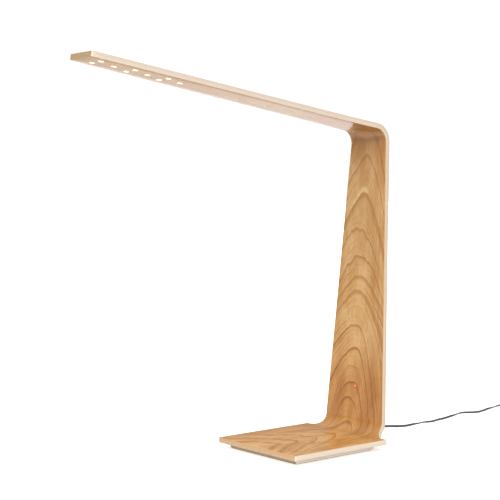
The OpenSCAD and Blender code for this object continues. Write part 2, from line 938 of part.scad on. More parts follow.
// Front shell with the lip that slides into the back shell and the holes for the pins
module adapter_front_shell() {
    lip_wall = adapter_wall / 2;
    color(dark_colour)
    on_adapter(adapter_seam_y)
    difference() {
        union() {
            linear_extrude(adapter_front_len)
                adapter_outline(0);
            translate([0, 0, -adapter_lip])
            linear_extrude(adapter_lip + adapter_wall)
                adapter_outline(adapter_wall + wood_gap);
        }
        translate([0, 0, -adapter_lip - over])
        linear_extrude(adapter_front_len + adapter_lip - adapter_wall + over)
            adapter_outline(adapter_wall + wood_gap + lip_wall);
        for (side = [-1, 1])
            translate([side * pin_gap / 2, 0, 0])
                cylinder(d = pin_root_d + 2 * wood_gap, h = adapter_front_len + over);
    }
}

// Round pins with the collars that hold them inside the front shell
module adapter_pins() {
    collar_t = 1.5;
    color("silver")
    for (side = [-1, 1])
        on_adapter(adapter_front_y)
        translate([side * pin_gap / 2, 0, 0])
        union() {
            cylinder(d = pin_d, h = pin_len);
            translate([0, 0, -adapter_wall - pin_root])
                cylinder(d = pin_root_d, h = adapter_wall + pin_root);
            translate([0, 0, -adapter_wall - collar_t])
                cylinder(d = pin_root_d + 3, h = collar_t);
        }
}

module adapter_board() {
    board_slot_y = adapter_back_y - adapter_wall - adapter_board_gap;
    color("seagreen")
    translate([adapter_x - adapter_board_w / 2, board_slot_y - adapter_board_len, adapter_board_z])
        cube([adapter_board_w, adapter_board_len, adapter_board_t]);
}

// Transformer on the back shell's half of the board
module adapter_transformer() {
    color("goldenrod")
    translate([adapter_x - transformer_w / 2, adapter_seam_y, adapter_board_top])
        cube([transformer_w, transformer_len, transformer_h]);
}

// Capacitor on the front shell's half of the board
module adapter_capacitor() {
    color("darkslategray")
    translate([adapter_x, adapter_seam_y - capacitor_d, adapter_board_top])
        cylinder(d = capacitor_d, h = capacitor_h);
}

inner_veneer();
inner_ply();
core_ply();
outer_ply();
outer_veneer();
weight_plate();
base_pad();
plate_screws();
led_board();
led_chips();
lens_discs();
supply_tape_positive();
supply_tape_negative();
control_board();
dimmer_chip();
power_inductor();
indicator_led();
tact_switch();
switch_plunger();
switch_button();
button_light_pipe();
cord_gland();
lead_wires();
cord_lead();
cord_coil();
cord_tie();
adapter_relief();
adapter_back_shell();
adapter_front_shell();
adapter_pins();
adapter_board();
adapter_transformer();
adapter_capacitor();
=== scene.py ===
# Looks of a desk lamp bent from one plywood ribbon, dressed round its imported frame.
# Metres and radians, in the frame's axes: +Z up, the arm towards -X, the origin under the base's middle.
import math

import bpy
from mathutils import Matrix, Vector, geometry


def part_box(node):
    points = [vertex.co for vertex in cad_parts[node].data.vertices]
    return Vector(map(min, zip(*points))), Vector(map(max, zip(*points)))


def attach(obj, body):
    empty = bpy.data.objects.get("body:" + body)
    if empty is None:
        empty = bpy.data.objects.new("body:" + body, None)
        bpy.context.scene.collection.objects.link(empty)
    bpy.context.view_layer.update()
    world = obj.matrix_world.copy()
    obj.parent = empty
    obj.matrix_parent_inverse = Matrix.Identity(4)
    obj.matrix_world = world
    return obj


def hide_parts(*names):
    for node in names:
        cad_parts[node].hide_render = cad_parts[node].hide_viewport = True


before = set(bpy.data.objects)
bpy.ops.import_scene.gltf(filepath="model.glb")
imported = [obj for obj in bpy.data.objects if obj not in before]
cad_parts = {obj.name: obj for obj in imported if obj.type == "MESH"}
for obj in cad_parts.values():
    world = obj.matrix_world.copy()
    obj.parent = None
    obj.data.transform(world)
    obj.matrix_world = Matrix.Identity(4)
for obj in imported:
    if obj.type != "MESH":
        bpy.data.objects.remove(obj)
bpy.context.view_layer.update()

# Where the photograph was taken from
CAMERA_PLACE = (-1.0065, -1.118, 0.3194)
CAMERA_YAW = math.radians(39.544)
CAMERA_PITCH = math.radians(-2.699)
CAMERA_LENS = 87.57
CAMERA_SENSOR = 36
CAMERA_REACH = 100

# The ribbon's driving sizes, as the frame has them
BASE_LEN = 0.150
BASE_W = 0.145
SHOULDER_R = 0.017
STEM_SETBACK = 0.0138
STEM_RISE = 0.385
STEM_LEAN = math.radians(4.05)
STEM_FOOT_W = 0.104
STEM_TOP_W = 0.061
ARM_LEN = 0.4383
ARM_TILT = math.radians(8.37)
ARM_TIP_W = 0.045
ARM_NECK_W = 0.0564
ARM_FLARE = 0.053
VENEER_T = 0.0006
PLY_T = 0.0013
CORE_T = 0.0026
LOW_BEND_R = 0.018
TOP_BEND_R = 0.017
SIDE_MARGIN = 0.002
SHOULDER_CUT = math.radians(20)
WOOD_GAP = 0.00005
BASE_CORNER_R = 0.002
TIP_CORNER_R = 0.003

# Depths of the layers below the ribbon's hollow side
INNER_D = VENEER_T
CORE_D = INNER_D + PLY_T
OUTER_D = CORE_D + CORE_T
BACK_D = OUTER_D + PLY_T
RIBBON_T = BACK_D + VENEER_T

# Corner lines and bends of the hollow side, in the XZ plane
BASE_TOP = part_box("weight_plate")[1].z + RIBBON_T
LOW_CORNER = Vector((BASE_LEN / 2 + STEM_SETBACK, BASE_TOP))
UP_STEM = Vector((math.sin(STEM_LEAN), math.cos(STEM_LEAN)))
BACK_OF_STEM = Vector((math.cos(STEM_LEAN), -math.sin(STEM_LEAN)))
ALONG_ARM = Vector((-math.cos(ARM_TILT), math.sin(ARM_TILT)))
ABOVE_ARM = Vector((math.sin(ARM_TILT), math.cos(ARM_TILT)))
STEM_LEN = STEM_RISE / math.cos(STEM_LEAN)
TOP_CORNER = LOW_CORNER + STEM_LEN * UP_STEM
LOW_TURN = math.pi / 2 - STEM_LEAN
TOP_TURN = math.pi / 2 - ARM_TILT + STEM_LEAN
LOW_TANGENT = LOW_BEND_R * math.tan(LOW_TURN / 2)
TOP_TANGENT = TOP_BEND_R * math.tan(TOP_TURN / 2)
LOW_CENTRE = LOW_CORNER + Vector((-LOW_TANGENT, LOW_BEND_R))
TOP_CENTRE = TOP_CORNER - TOP_TANGENT * UP_STEM - TOP_BEND_R * BACK_OF_STEM

# Distances along the hollow side, from the base's front, where each stretch starts
LOW_START = BASE_LEN / 2 + LOW_CENTRE[0]
STEM_START = LOW_START + LOW_BEND_R * LOW_TURN
TOP_START = STEM_START + STEM_LEN - LOW_TANGENT - TOP_TANGENT
ARM_START = TOP_START + TOP_BEND_R * TOP_TURN
TIP = ARM_START + ARM_LEN - TOP_TANGENT

# Corners of the ribbon's outline
STEM_LOW_Z = BASE_TOP + LOW_BEND_R * (1 - math.cos(LOW_TURN)) + SIDE_MARGIN
STEM_HIGH_Z = TOP_CORNER[1] - TOP_TANGENT * math.cos(STEM_LEAN) - SIDE_MARGIN
ARM_BEND_X = TOP_CORNER[0] - (TOP_TANGENT + SIDE_MARGIN) * math.cos(ARM_TILT)
ARM_NECK_X = ARM_BEND_X - ARM_FLARE
ARM_TIP_X = TOP_CORNER[0] - ARM_LEN * math.cos(ARM_TILT)


def stem_half_width(z):
    """Half width of the stem at a height."""
    share = (z - BASE_TOP) / STEM_RISE
    return (STEM_FOOT_W + (STEM_TOP_W - STEM_FOOT_W) * share) / 2


FOOT_HALF = stem_half_width(STEM_LOW_Z)
TOP_HALF = stem_half_width(STEM_HIGH_Z)
SHOULDER_TURN = math.asin((LOW_TANGENT - STEM_SETBACK) / LOW_BEND_R)
SHOULDER_T = LOW_BEND_R * math.sin(SHOULDER_TURN - SHOULDER_CUT)

# The lights, the button and the cord's gland, as the frame has them
LIGHT_ROWS = 6
LIGHT_PITCH = 0.0224
LIGHT_END = 0.0205
LIGHT_PAIR_W = 0.018
LENS_D = 0.007
LENS_RIM_D = 0.009
LENS_RIM_T = 0.0005
LED_BOARD_W = 0.032
LED_BOARD_END = 0.009
BUTTON_H = 0.057
BUTTON_D = 0.007
BUTTON_RIM_D = 0.009
BUTTON_PROUD = 0.00035
BUTTON_GAP = 0.00015
BUTTON_RIM_T = 0.0005
PIPE_D = 0.0024
CONTROL_W = 0.022
CONTROL_HIGH = 0.093
CHANNEL_W = 0.014
POCKET_GAP = 0.0003
GLAND_LIFT = 0.0082
GLAND_H = LOW_TANGENT + GLAND_LIFT
GLAND_SLEEVE_D = 0.006
GLAND_FLANGE_D = 0.010
GLAND_FLANGE_T = 0.0014
GLAND_TAIL = 0.015
GLAND_BORE_D = 0.0032
GLAND_END = RIBBON_T + GLAND_FLANGE_T + GLAND_TAIL
SCREW_X = 0.050
SCREW_Y = 0.0475
SCREW_D = 0.0035

# The cord: a flat twin lead that twists as it lies, then a tied coil and the adapter
CORD_T = 0.0015
CORD_W = 2 * CORD_T
CORD_R = CORD_W / 2
CORD_ROOM_R = 0.0016
# It lies flat at this x, and again at every half turn
CORD_FLAT_X = 0.237
CORD_HALF_TURN = 0.092
CORD_SWAY = 0.35
# Points on and above the table, as (x, y, height of the cord's underside)
CORD_ROUTE = (
    (0.130, 0.004, 0.0275), (0.141, 0.011, 0.018), (0.152, 0.020, 0.009), (0.163, 0.029, 0.003),
    (0.175, 0.0335, 0.0004), (0.186, 0.031, 0), (0.192, 0.026, 0), (0.1975, 0.0215, 0), (0.205, 0.0182, 0),
    (0.214, 0.0178, 0), (0.225, 0.0198, 0), (0.236, 0.0214, 0), (0.246, 0.0215, 0), (0.253, 0.0184, 0),
    (0.262, 0.0170, 0), (0.275, 0.0198, 0), (0.287, 0.0209, 0), (0.301, 0.0242, 0), (0.318, 0.0295, 0),
    (0.333, 0.0342, 0), (0.344, 0.0345, 0), (0.351, 0.0302, 0), (0.358, 0.0257, 0), (0.367, 0.0234, 0),
    (0.381, 0.0264, 0), (0.398, 0.0317, 0), (0.415, 0.0366, 0), (0.431, 0.0388, 0), (0.446, 0.0375, 0.0004),
)
CORD_STEPS = 8
COIL_CENTRE = Vector((0.475, 0.012))
COIL_R = 0.018
COIL_LAYERS = 4
COIL_LAYER_TURNS = 3
COIL_PITCH = 0.0038
COIL_INNER_R = COIL_R - COIL_LAYER_TURNS * COIL_PITCH / 2
COIL_BASE_Z = 0.0026
COIL_TOP_Z = COIL_BASE_Z + (COIL_LAYERS - 1) * COIL_PITCH
COIL_LAST_TURN = 0.25
COIL_TURNS = COIL_LAYERS * COIL_LAYER_TURNS + COIL_LAST_TURN
COIL_STEPS = 48
COIL_TAIL = 0.022

# The adapter on the cord's end, and other pieces
RELIEF_LEN = 0.020
ADAPTER_WALL = 0.002
PIN_BARE = 0.010
PAD_CORNER_R = 0.003
TURNED_SIDES = 48


# Camera
def make_camera():
    data = bpy.data.cameras.new("camera")
    data.lens = CAMERA_LENS
    data.sensor_width = CAMERA_SENSOR
    data.clip_end = CAMERA_REACH
    camera = bpy.data.objects.new("camera", data)
    camera.location = CAMERA_PLACE
    camera.rotation_euler = (math.pi / 2 + CAMERA_PITCH, 0, -CAMERA_YAW)
    bpy.context.scene.collection.objects.link(camera)
    bpy.context.scene.camera = camera


# Meshes
def mesh_object(name, points, faces, materials, picks=None, uvs=None, smooth_angle=35):
    """New object, with a material picked for each face and a pair for each corner in each UV map."""
    mesh = bpy.data.meshes.new(name)
    mesh.from_pydata([tuple(p) for p in points], [], faces)
    for material in materials:
        mesh.materials.append(material)
    for map_name, corners in (uvs or {}).items():
        layer = mesh.uv_layers.new(name=map_name)
        for corner, pair in zip(layer.data, corners):
            corner.uv = pair
    for face in mesh.polygons:
        face.use_smooth = True
        if picks:
            face.material_index = picks[face.index]
    mesh.set_sharp_from_angle(angle=math.radians(smooth_angle))
    mesh.update()
    obj = bpy.data.objects.new(name, mesh)
    bpy.context.scene.collection.objects.link(obj)
    return obj


def dress(obj, slot, body, *nodes):
    """Hides the nodes that a piece stands for and ties the piece to its body. The slot is not used."""
    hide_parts(*nodes)
    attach(obj, body)
    return obj


def quarter(steps):
    """Angles of a quarter turn, in even steps."""
    return [math.pi / 2 * k / steps for k in range(steps + 1)]


def rounded_ring(length, width, radius):
    """Points round a rectangle with round corners, centred on the origin."""
    ring = []
    for turn, (sx, sy) in enumerate(((1, 1), (-1, 1), (-1, -1), (1, -1))):
        for angle in quarter(8):
            angle += turn * math.pi / 2
            ring.append((
                sx * (length / 2 - radius) + radius * math.cos(angle),
                sy * (width / 2 - radius) + radius * math.sin(angle),
            ))
    return ring


def tube_faces(sides, rings):
    """Faces of a closed tube through rings of points, with both its ends."""
    faces = [list(reversed(range(sides)))]
    for level in range(rings - 1):
        for k in range(sides):
            a = level * sides + k
            b = level * sides + (k + 1) % sides
            faces.append([a, b, b + sides, a + sides])
    faces.append(list(range((rings - 1) * sides, rings * sides)))
    return faces


def swept(path, section, twist):
    """Closed tube of a section swept along a path, turned by the twist at each point."""
    points = []
    last = len(path) - 1
    for i, (place, turn) in enumerate(zip(path, twist)):
        forward = (path[min(i + 1, last)] - path[max(i - 1, 0)]).normalized()
        across = forward.cross(Vector((0, 0, 1))).normalized()
        above = across.cross(forward)
        side = math.cos(turn) * across + math.sin(turn) * above
        top = math.cos(turn) * above - math.sin(turn) * across
        points += [place + x * side + y * top for x, y in section]
    return points, tube_faces(len(section), len(path))


# Places on the lamp
ACROSS = Vector((0, -1, 0))


def in_space(flat, across=0):
    """Point or direction in space of one in the XZ plane."""
    return Vector((flat[0], across, flat[1]))


def frame_at(origin, along):
    """Matrix of a place with x across the lamp, y along and z out of the face."""
    out = ACROSS.cross(along)
    return Matrix.Translation(origin) @ Matrix((ACROSS, along, out)).transposed().to_4x4()


def on_stem(height):
    """Place on the stem's front, a distance up from its foot corner."""
    return frame_at(in_space(LOW_CORNER + height * UP_STEM), in_space(UP_STEM))


def on_arm(run, across):
    """Place on the arm's underside, a distance from its corner towards the tip."""
    return frame_at(in_space(TOP_CORNER + run * ALONG_ARM, -across), in_space(ALONG_ARM))


def light_places():
    """Distance from the arm's corner and distance across of each light."""
    for row in range(LIGHT_ROWS):
        run = ARM_LEN - LIGHT_END - row * LIGHT_PITCH
        for side in (-1, 1) if row % 2 == 0 else (0,):
            yield run, side * LIGHT_PAIR_W / 2


# The cord's line
def smooth_line(points, steps):
    """Smooth curve through points, running straight on past its ends."""
    padded = [2 * points[0] - points[1]] + points + [2 * points[-1] - points[-2]]
    line = []
    for p0, p1, p2, p3 in zip(padded, padded[1:], padded[2:], padded[3:]):
        for k in range(steps):
            t = k / steps
            line.append(0.5 * (
                2 * p1 + (p2 - p0) * t + (2 * p0 - 5 * p1 + 4 * p2 - p3) * t * t
                + (3 * p1 - p0 - 3 * p2 + p3) * t * t * t
            ))
    return line + [points[-1]]


def coil_point(turn):
    """Point of the coil after a number of turns: spirals in and out, a layer up at each reversal."""
    top = COIL_LAYERS - 1
    reversal = COIL_LAYER_TURNS
    spread = turn - top * reversal if turn > top * reversal else abs(turn % (2 * reversal) - reversal)
    layer = math.floor(turn / reversal + 0.5)
    done = min(1, max(0, 2 * (turn - layer * reversal) + 0.5))
    climb = 0 if layer < 1 else top if layer > top else layer - 1 + done * done * (3 - 2 * done)
    radius = COIL_INNER_R + COIL_PITCH * spread
    angle = math.pi / 2 - 2 * math.pi * turn
    return Vector((
        COIL_CENTRE[0] + radius * math.cos(angle),
        COIL_CENTRE[1] + radius * math.sin(angle),
        COIL_BASE_Z + COIL_PITCH * climb,
    ))


def cord_line():
    """The cord's middle line from the gland to the adapter, with its length at each point."""
    exit_place = on_stem(GLAND_H)
    straight = [exit_place @ Vector((0, 0, -GLAND_END - run * CORD_W)) for run in range(3)]
    lying = [Vector((x, y, under + CORD_R)) for x, y, under in CORD_ROUTE]
    entry = coil_point(0)
    lead_in = [entry - Vector((run * CORD_W, 0, 0)) for run in (3, 2, 1)]
    line = smooth_line(straight + lying + lead_in, CORD_STEPS)
    line += [coil_point(k / COIL_STEPS) for k in range(int(COIL_TURNS * COIL_STEPS) + 1)]
    tail_x = line[-1].x
    for share in (0.15, 0.3, 0.5, 0.7, 0.85, 1):
        line.append(Vector((tail_x, COIL_CENTRE[1] - share * COIL_TAIL, COIL_TOP_Z)))
    lengths = [0.0]
    for a, b in zip(line, line[1:]):
        lengths.append(lengths[-1] + (b - a).length)
    return line, lengths


def cord_section():
    """Outline of a flat twin lead: two round wires side by side with a groove between them."""
    lobe = CORD_T / 2
    reach = math.radians(150)
    arc = [-reach + 2 * reach * k / 10 for k in range(11)]
    right = [(lobe + lobe * math.cos(a), lobe * math.sin(a)) for a in arc]
    return right + [(-x, -y) for x, y in right]


def make_cord(material):
    line, lengths = cord_line()
    flat_at = next(length for place, length in zip(line, lengths) if place.x > CORD_FLAT_X)
    turns = [(length - flat_at) / CORD_HALF_TURN for length in lengths]
    twist = [math.pi * turn + CORD_SWAY * math.sin(2 * math.pi * turn) for turn in turns]
    path = []
    for place, turn in zip(line, twist):
        half_height = CORD_T / 2 + (CORD_W - CORD_T) / 2 * abs(math.sin(turn))
        lies = max(0, 1 - abs(place.z - CORD_R) / CORD_T)
        height = max(place.z - lies * (CORD_R - half_height), half_height)
        path.append(Vector((place.x, place.y, height)))
    points, faces = swept(path, cord_section(), twist)
    cord = mesh_object("cord", points, faces, [material], smooth_angle=60)
    dress(cord, "cord", "lamp", "cord_lead", "cord_coil")
    return cord, path, lengths[-1]


# Materials
class Nodes:
    """A node tree, and short calls that make its nodes."""

    def __init__(self, tree):
        self.tree = tree

    def put(self, socket, value):
        if isinstance(value, bpy.types.NodeSocket):
            self.tree.links.new(value, socket)
        else:
            socket.default_value = value

    def node(self, kind, *values, **settings):
        """New node with its settings and its first inputs."""
        node = self.tree.nodes.new("ShaderNode" + kind)
        for key, value in settings.items():
            setattr(node, key, value)
        for socket, value in zip(node.inputs, values):
            self.put(socket, value)
        return node

    def math(self, operation, *values):
        return self.node("Math", *values, operation=operation).outputs[0]

    def times(self, first, second):
        return self.math("MULTIPLY", first, second)

    def minus(self, first, second):
        return self.math("SUBTRACT", first, second)

    def scaled(self, value, factor, start):
        """A value times a factor, on top of a start."""
        return self.math("MULTIPLY_ADD", value, factor, start)

    def stretched(self, vector, x, y, z=1):
        return self.node("VectorMath", vector, (x, y, z), operation="MULTIPLY").outputs[0]

    def noise(self, vector, scale=1, detail=2, rough=0.5):
        node = self.node("TexNoise")
        values = {"Vector": vector, "Scale": scale, "Detail": detail, "Roughness": rough}
        for key, value in values.items():
            self.put(node.inputs[key], value)
        return node.outputs["Fac"]

    def ranged(self, value, low, high, to_low=0, to_high=1, kind="SMOOTHSTEP"):
        """A value moved from one range to another, and held at the ends of that."""
        node = self.node("MapRange", value, low, high, to_low, to_high, interpolation_type=kind)
        return node.outputs[0]

    def pulse(self, value, rise, top, fall, end):
        """One between the middle two places, falling off to nothing at the outer two."""
        return self.times(self.ranged(value, rise, top), self.ranged(value, fall, end, 1, 0))

    def chosen(self, share, first, second):
        """The first number where the share is one, and the second where it is nothing."""
        return self.scaled(share, self.minus(first, second), second)

    def curve(self, value, knots):
        """Smooth curve through knots of (value, result)."""
        node = self.node("FloatCurve")
        low, high = knots[0][0], knots[-1][0]
        results = [result for _, result in knots]
        least, most = min(results), max(results)
        points = node.mapping.curves[0].points
        while len(points) < len(knots):
            points.new(0.5, 0.5)
        for point, (place, result) in zip(points, knots):
            point.location = ((place - low) / (high - low), (result - least) / (most - least))
            point.handle_type = "AUTO_CLAMPED"
        node.mapping.update()
        self.put(node.inputs["Value"], self.ranged(value, low, high, kind="LINEAR"))
        return self.ranged(node.outputs[0], 0, 1, least, most, "LINEAR")

    def mixed(self, share, first, second):
        """Mix of two colours, which are the node's inputs 6 and 7, with its output 2 for the result."""
        node = self.node("Mix", share, data_type="RGBA")
        self.put(node.inputs[6], first)
        self.put(node.inputs[7], second)
        return node.outputs[2]

    def tinted(self, colour, share, amount, tone):
        """A colour with so much of a tone laid over it where the share is one."""
        return self.mixed(self.times(share, amount), colour, tone)

    def ramp(self, value, stops):
        node = self.node("ValToRGB", value)
        elements = node.color_ramp.elements
        while len(elements) < len(stops):
            elements.new(1)
        for element, (position, colour) in zip(elements, stops):
            element.position = position
            element.color = colour
        return node.outputs[0]

    def uv(self, name):
        return self.node("UVMap", uv_map=name).outputs[0]

    def place(self):
        return self.node("TexCoord").outputs["Object"]

    def split(self, vector):
        node = self.node("SeparateXYZ", vector)
        return node.outputs[0], node.outputs[1]


class Shader(Nodes):
    """A material with one main shader."""

    def __init__(self, name):
        self.material = bpy.data.materials.new(name)
        self.material.use_nodes = True
        super().__init__(self.material.node_tree)
        self.tree.nodes.clear()
        self.main = self.node("BsdfPrincipled")
        self.node("OutputMaterial", self.main.outputs[0])

    def set(self, **values):
        """Sets the main shader's inputs by name, with spaces written as underscores."""
        for key, value in values.items():
            self.put(self.main.inputs[key.replace("_", " ")], value)

    def gloss(self, noise, low, high):
        """Roughness between two values, following a noise."""
        self.set(Roughness=self.ranged(noise, 0.3, 0.7, low, high, "LINEAR"))

    def bump(self, height, distance):
        node = self.node("Bump")
        for key, value in {"Height": height, "Distance": distance, "Strength": 1}.items():
            self.put(node.inputs[key], value)
        self.set(Normal=node.outputs[0])


def srgb(red, green, blue):
    """Colour from the eight-bit numbers of a picture, in linear light."""
    linear = []
    for number in (red, green, blue):
        c = number / 255
        linear.append(c / 12.92 if c <= 0.04045 else ((c + 0.055) / 1.055) ** 2.4)
    return (*linear, 1)


# Heights up the stem of the tips of the grain's arches, from the base's front to the arm
RING_HEIGHTS = (
    -0.200, -0.160, -0.127, -0.096, -0.061, -0.030, 0.010, 0.041, 0.061, 0.083, 0.105, 0.136, 0.160,
    0.179, 0.1975, 0.225, 0.260, 0.306, 0.355, 0.402, 0.452, 0.484, 0.553, 0.598, 0.684, 0.735, 0.816,
    0.900, 0.960,
)
GRAIN_FOOT = STEM_START - LOW_TANGENT
GRAIN_MIDDLE = 0.004

# How the arches change with the height of their tips, as (height, value): where a tip is across the sheet,
# how far its legs drop one step out from its rounded tip, about 17 mm to each side, and how they steepen
ARCH_MIDDLE = (
    (-0.20, -0.004), (-0.03, -0.003), (0.015, 0.010), (0.043, 0.011), (0.063, 0.005), (0.11, 0.0045),
    (0.18, 0.006), (0.23, 0.007), (0.26, 0.011), (0.30, 0.003), (0.96, 0.002),
)
ARCH_LEFT_DROP = (
    (-0.20, 0.0075), (-0.03, 0.0085), (0.015, 0.018), (0.043, 0.016), (0.063, 0.0085), (0.105, 0.0094),
    (0.14, 0.0068), (0.20, 0.0092), (0.225, 0.0108), (0.265, 0.010), (0.30, 0.016), (0.40, 0.018),
    (0.50, 0.040), (0.96, 0.060),
)
ARCH_LEFT_POWER = (
    (-0.20, 1.2), (-0.03, 1.3), (0.015, 1.8), (0.043, 1.9), (0.063, 2.2), (0.088, 1.6), (0.105, 1.42),
    (0.225, 1.45), (0.265, 1.75), (0.30, 1.1), (0.96, 1.5),
)
ARCH_RIGHT_DROP = (
    (-0.20, 0.016), (-0.03, 0.017), (0.015, 0.018), (0.043, 0.022), (0.063, 0.026), (0.105, 0.021),
    (0.14, 0.017), (0.18, 0.0075), (0.20, 0.0056), (0.225, 0.007), (0.265, 0.0085), (0.30, 0.0165),
    (0.40, 0.022), (0.50, 0.046), (0.96, 0.070),
)
ARCH_RIGHT_POWER = (
    (-0.20, 1.2), (-0.03, 1.25), (0.015, 1.8), (0.043, 1.9), (0.063, 2.0), (0.105, 1.9), (0.14, 1.72),
    (0.20, 1.64), (0.265, 1.75), (0.30, 1.42), (0.96, 1.5),
)
ARCH_STEP = 0.013
ARCH_TIP_R = 0.0045
ARCH_ROUNDS = 5

# Thinnest and thickest line and its least strength, at the end of each ring and between the rings
RING_LINE = (0.0034, 0.0058, 0.75)
FINE_LINE = (0.0014, 0.0032, 0.08)
FINE_LINES = 5

# The oak's pale, rich and dark tones, each on the stem, on the base and at the stem's foot
OAK_TONES = (
    ((220, 183, 133), (236, 192, 128), (203, 151, 83)),
    ((203, 160, 107), (220, 168, 104), (183, 127, 62)),
    ((162, 106, 44), (176, 104, 34), (138, 73, 10)),
)


def arch_legs(m, across, tip):
    """How far below its tip an arch is at a place across the sheet."""
    offset = m.minus(across, m.curve(tip, ARCH_MIDDLE))
    left = m.math("GREATER_THAN", offset, 0)
    drop = m.chosen(left, m.curve(tip, ARCH_LEFT_DROP), m.curve(tip, ARCH_RIGHT_DROP))
    power = m.chosen(left, m.curve(tip, ARCH_LEFT_POWER), m.curve(tip, ARCH_RIGHT_POWER))
    rounded = m.math("SQRT", m.scaled(offset, offset, ARCH_TIP_R ** 2))
    steps = m.math("DIVIDE", m.minus(rounded, ARCH_TIP_R), ARCH_STEP)
    return m.times(drop, m.math("POWER", steps, power))


def grain_level(m, height, across, off_middle):
    """Height of the tip of the arch through a place, closed in on in a few rounds."""
    first_power, first_drop = 1.9, 0.006
    steps = m.math("DIVIDE", off_middle, ARCH_STEP)
    tip = m.scaled(m.math("POWER", steps, first_power), first_drop, height)
    for _ in range(ARCH_ROUNDS):
        tip = m.math("ADD", tip, m.math("ADD", height, arch_legs(m, across, tip)))
        tip = m.times(tip, 0.5)
    return tip


def ring_gaps():
    """Distance between rings at each ring's height."""
    last = len(RING_HEIGHTS) - 1
    for k, ring in enumerate(RING_HEIGHTS):
        low, high = max(k - 1, 0), min(k + 1, last)
        yield ring, (RING_HEIGHTS[high] - RING_HEIGHTS[low]) / (high - low)


def ring_lines(m, number, gap, widen, thin, thick, least):
    """Dark wood at the end of each ring, with a width and a strength of its own from ring to ring."""
    through = m.math("FRACT", number)
    each = m.node("TexWhiteNoise", noise_dimensions="1D")
    m.put(each.inputs["W"], m.math("ROUND", number))
    width, strength = m.split(each.outputs["Color"])
    width = m.times(m.ranged(width, 0, 1, thin, thick, "LINEAR"), widen)
    below = m.times(m.minus(1, through), gap)
    above = m.times(through, gap)
    late = m.ranged(m.math("DIVIDE", below, width), 0.1, 1, 1, 0)
    early = m.ranged(m.math("DIVIDE", above, width), 0, 0.35, 1, 0)
    line = m.math("MAXIMUM", late, early)
    return m.times(line, m.ranged(strength, 0, 1, least, 1, "LINEAR"))


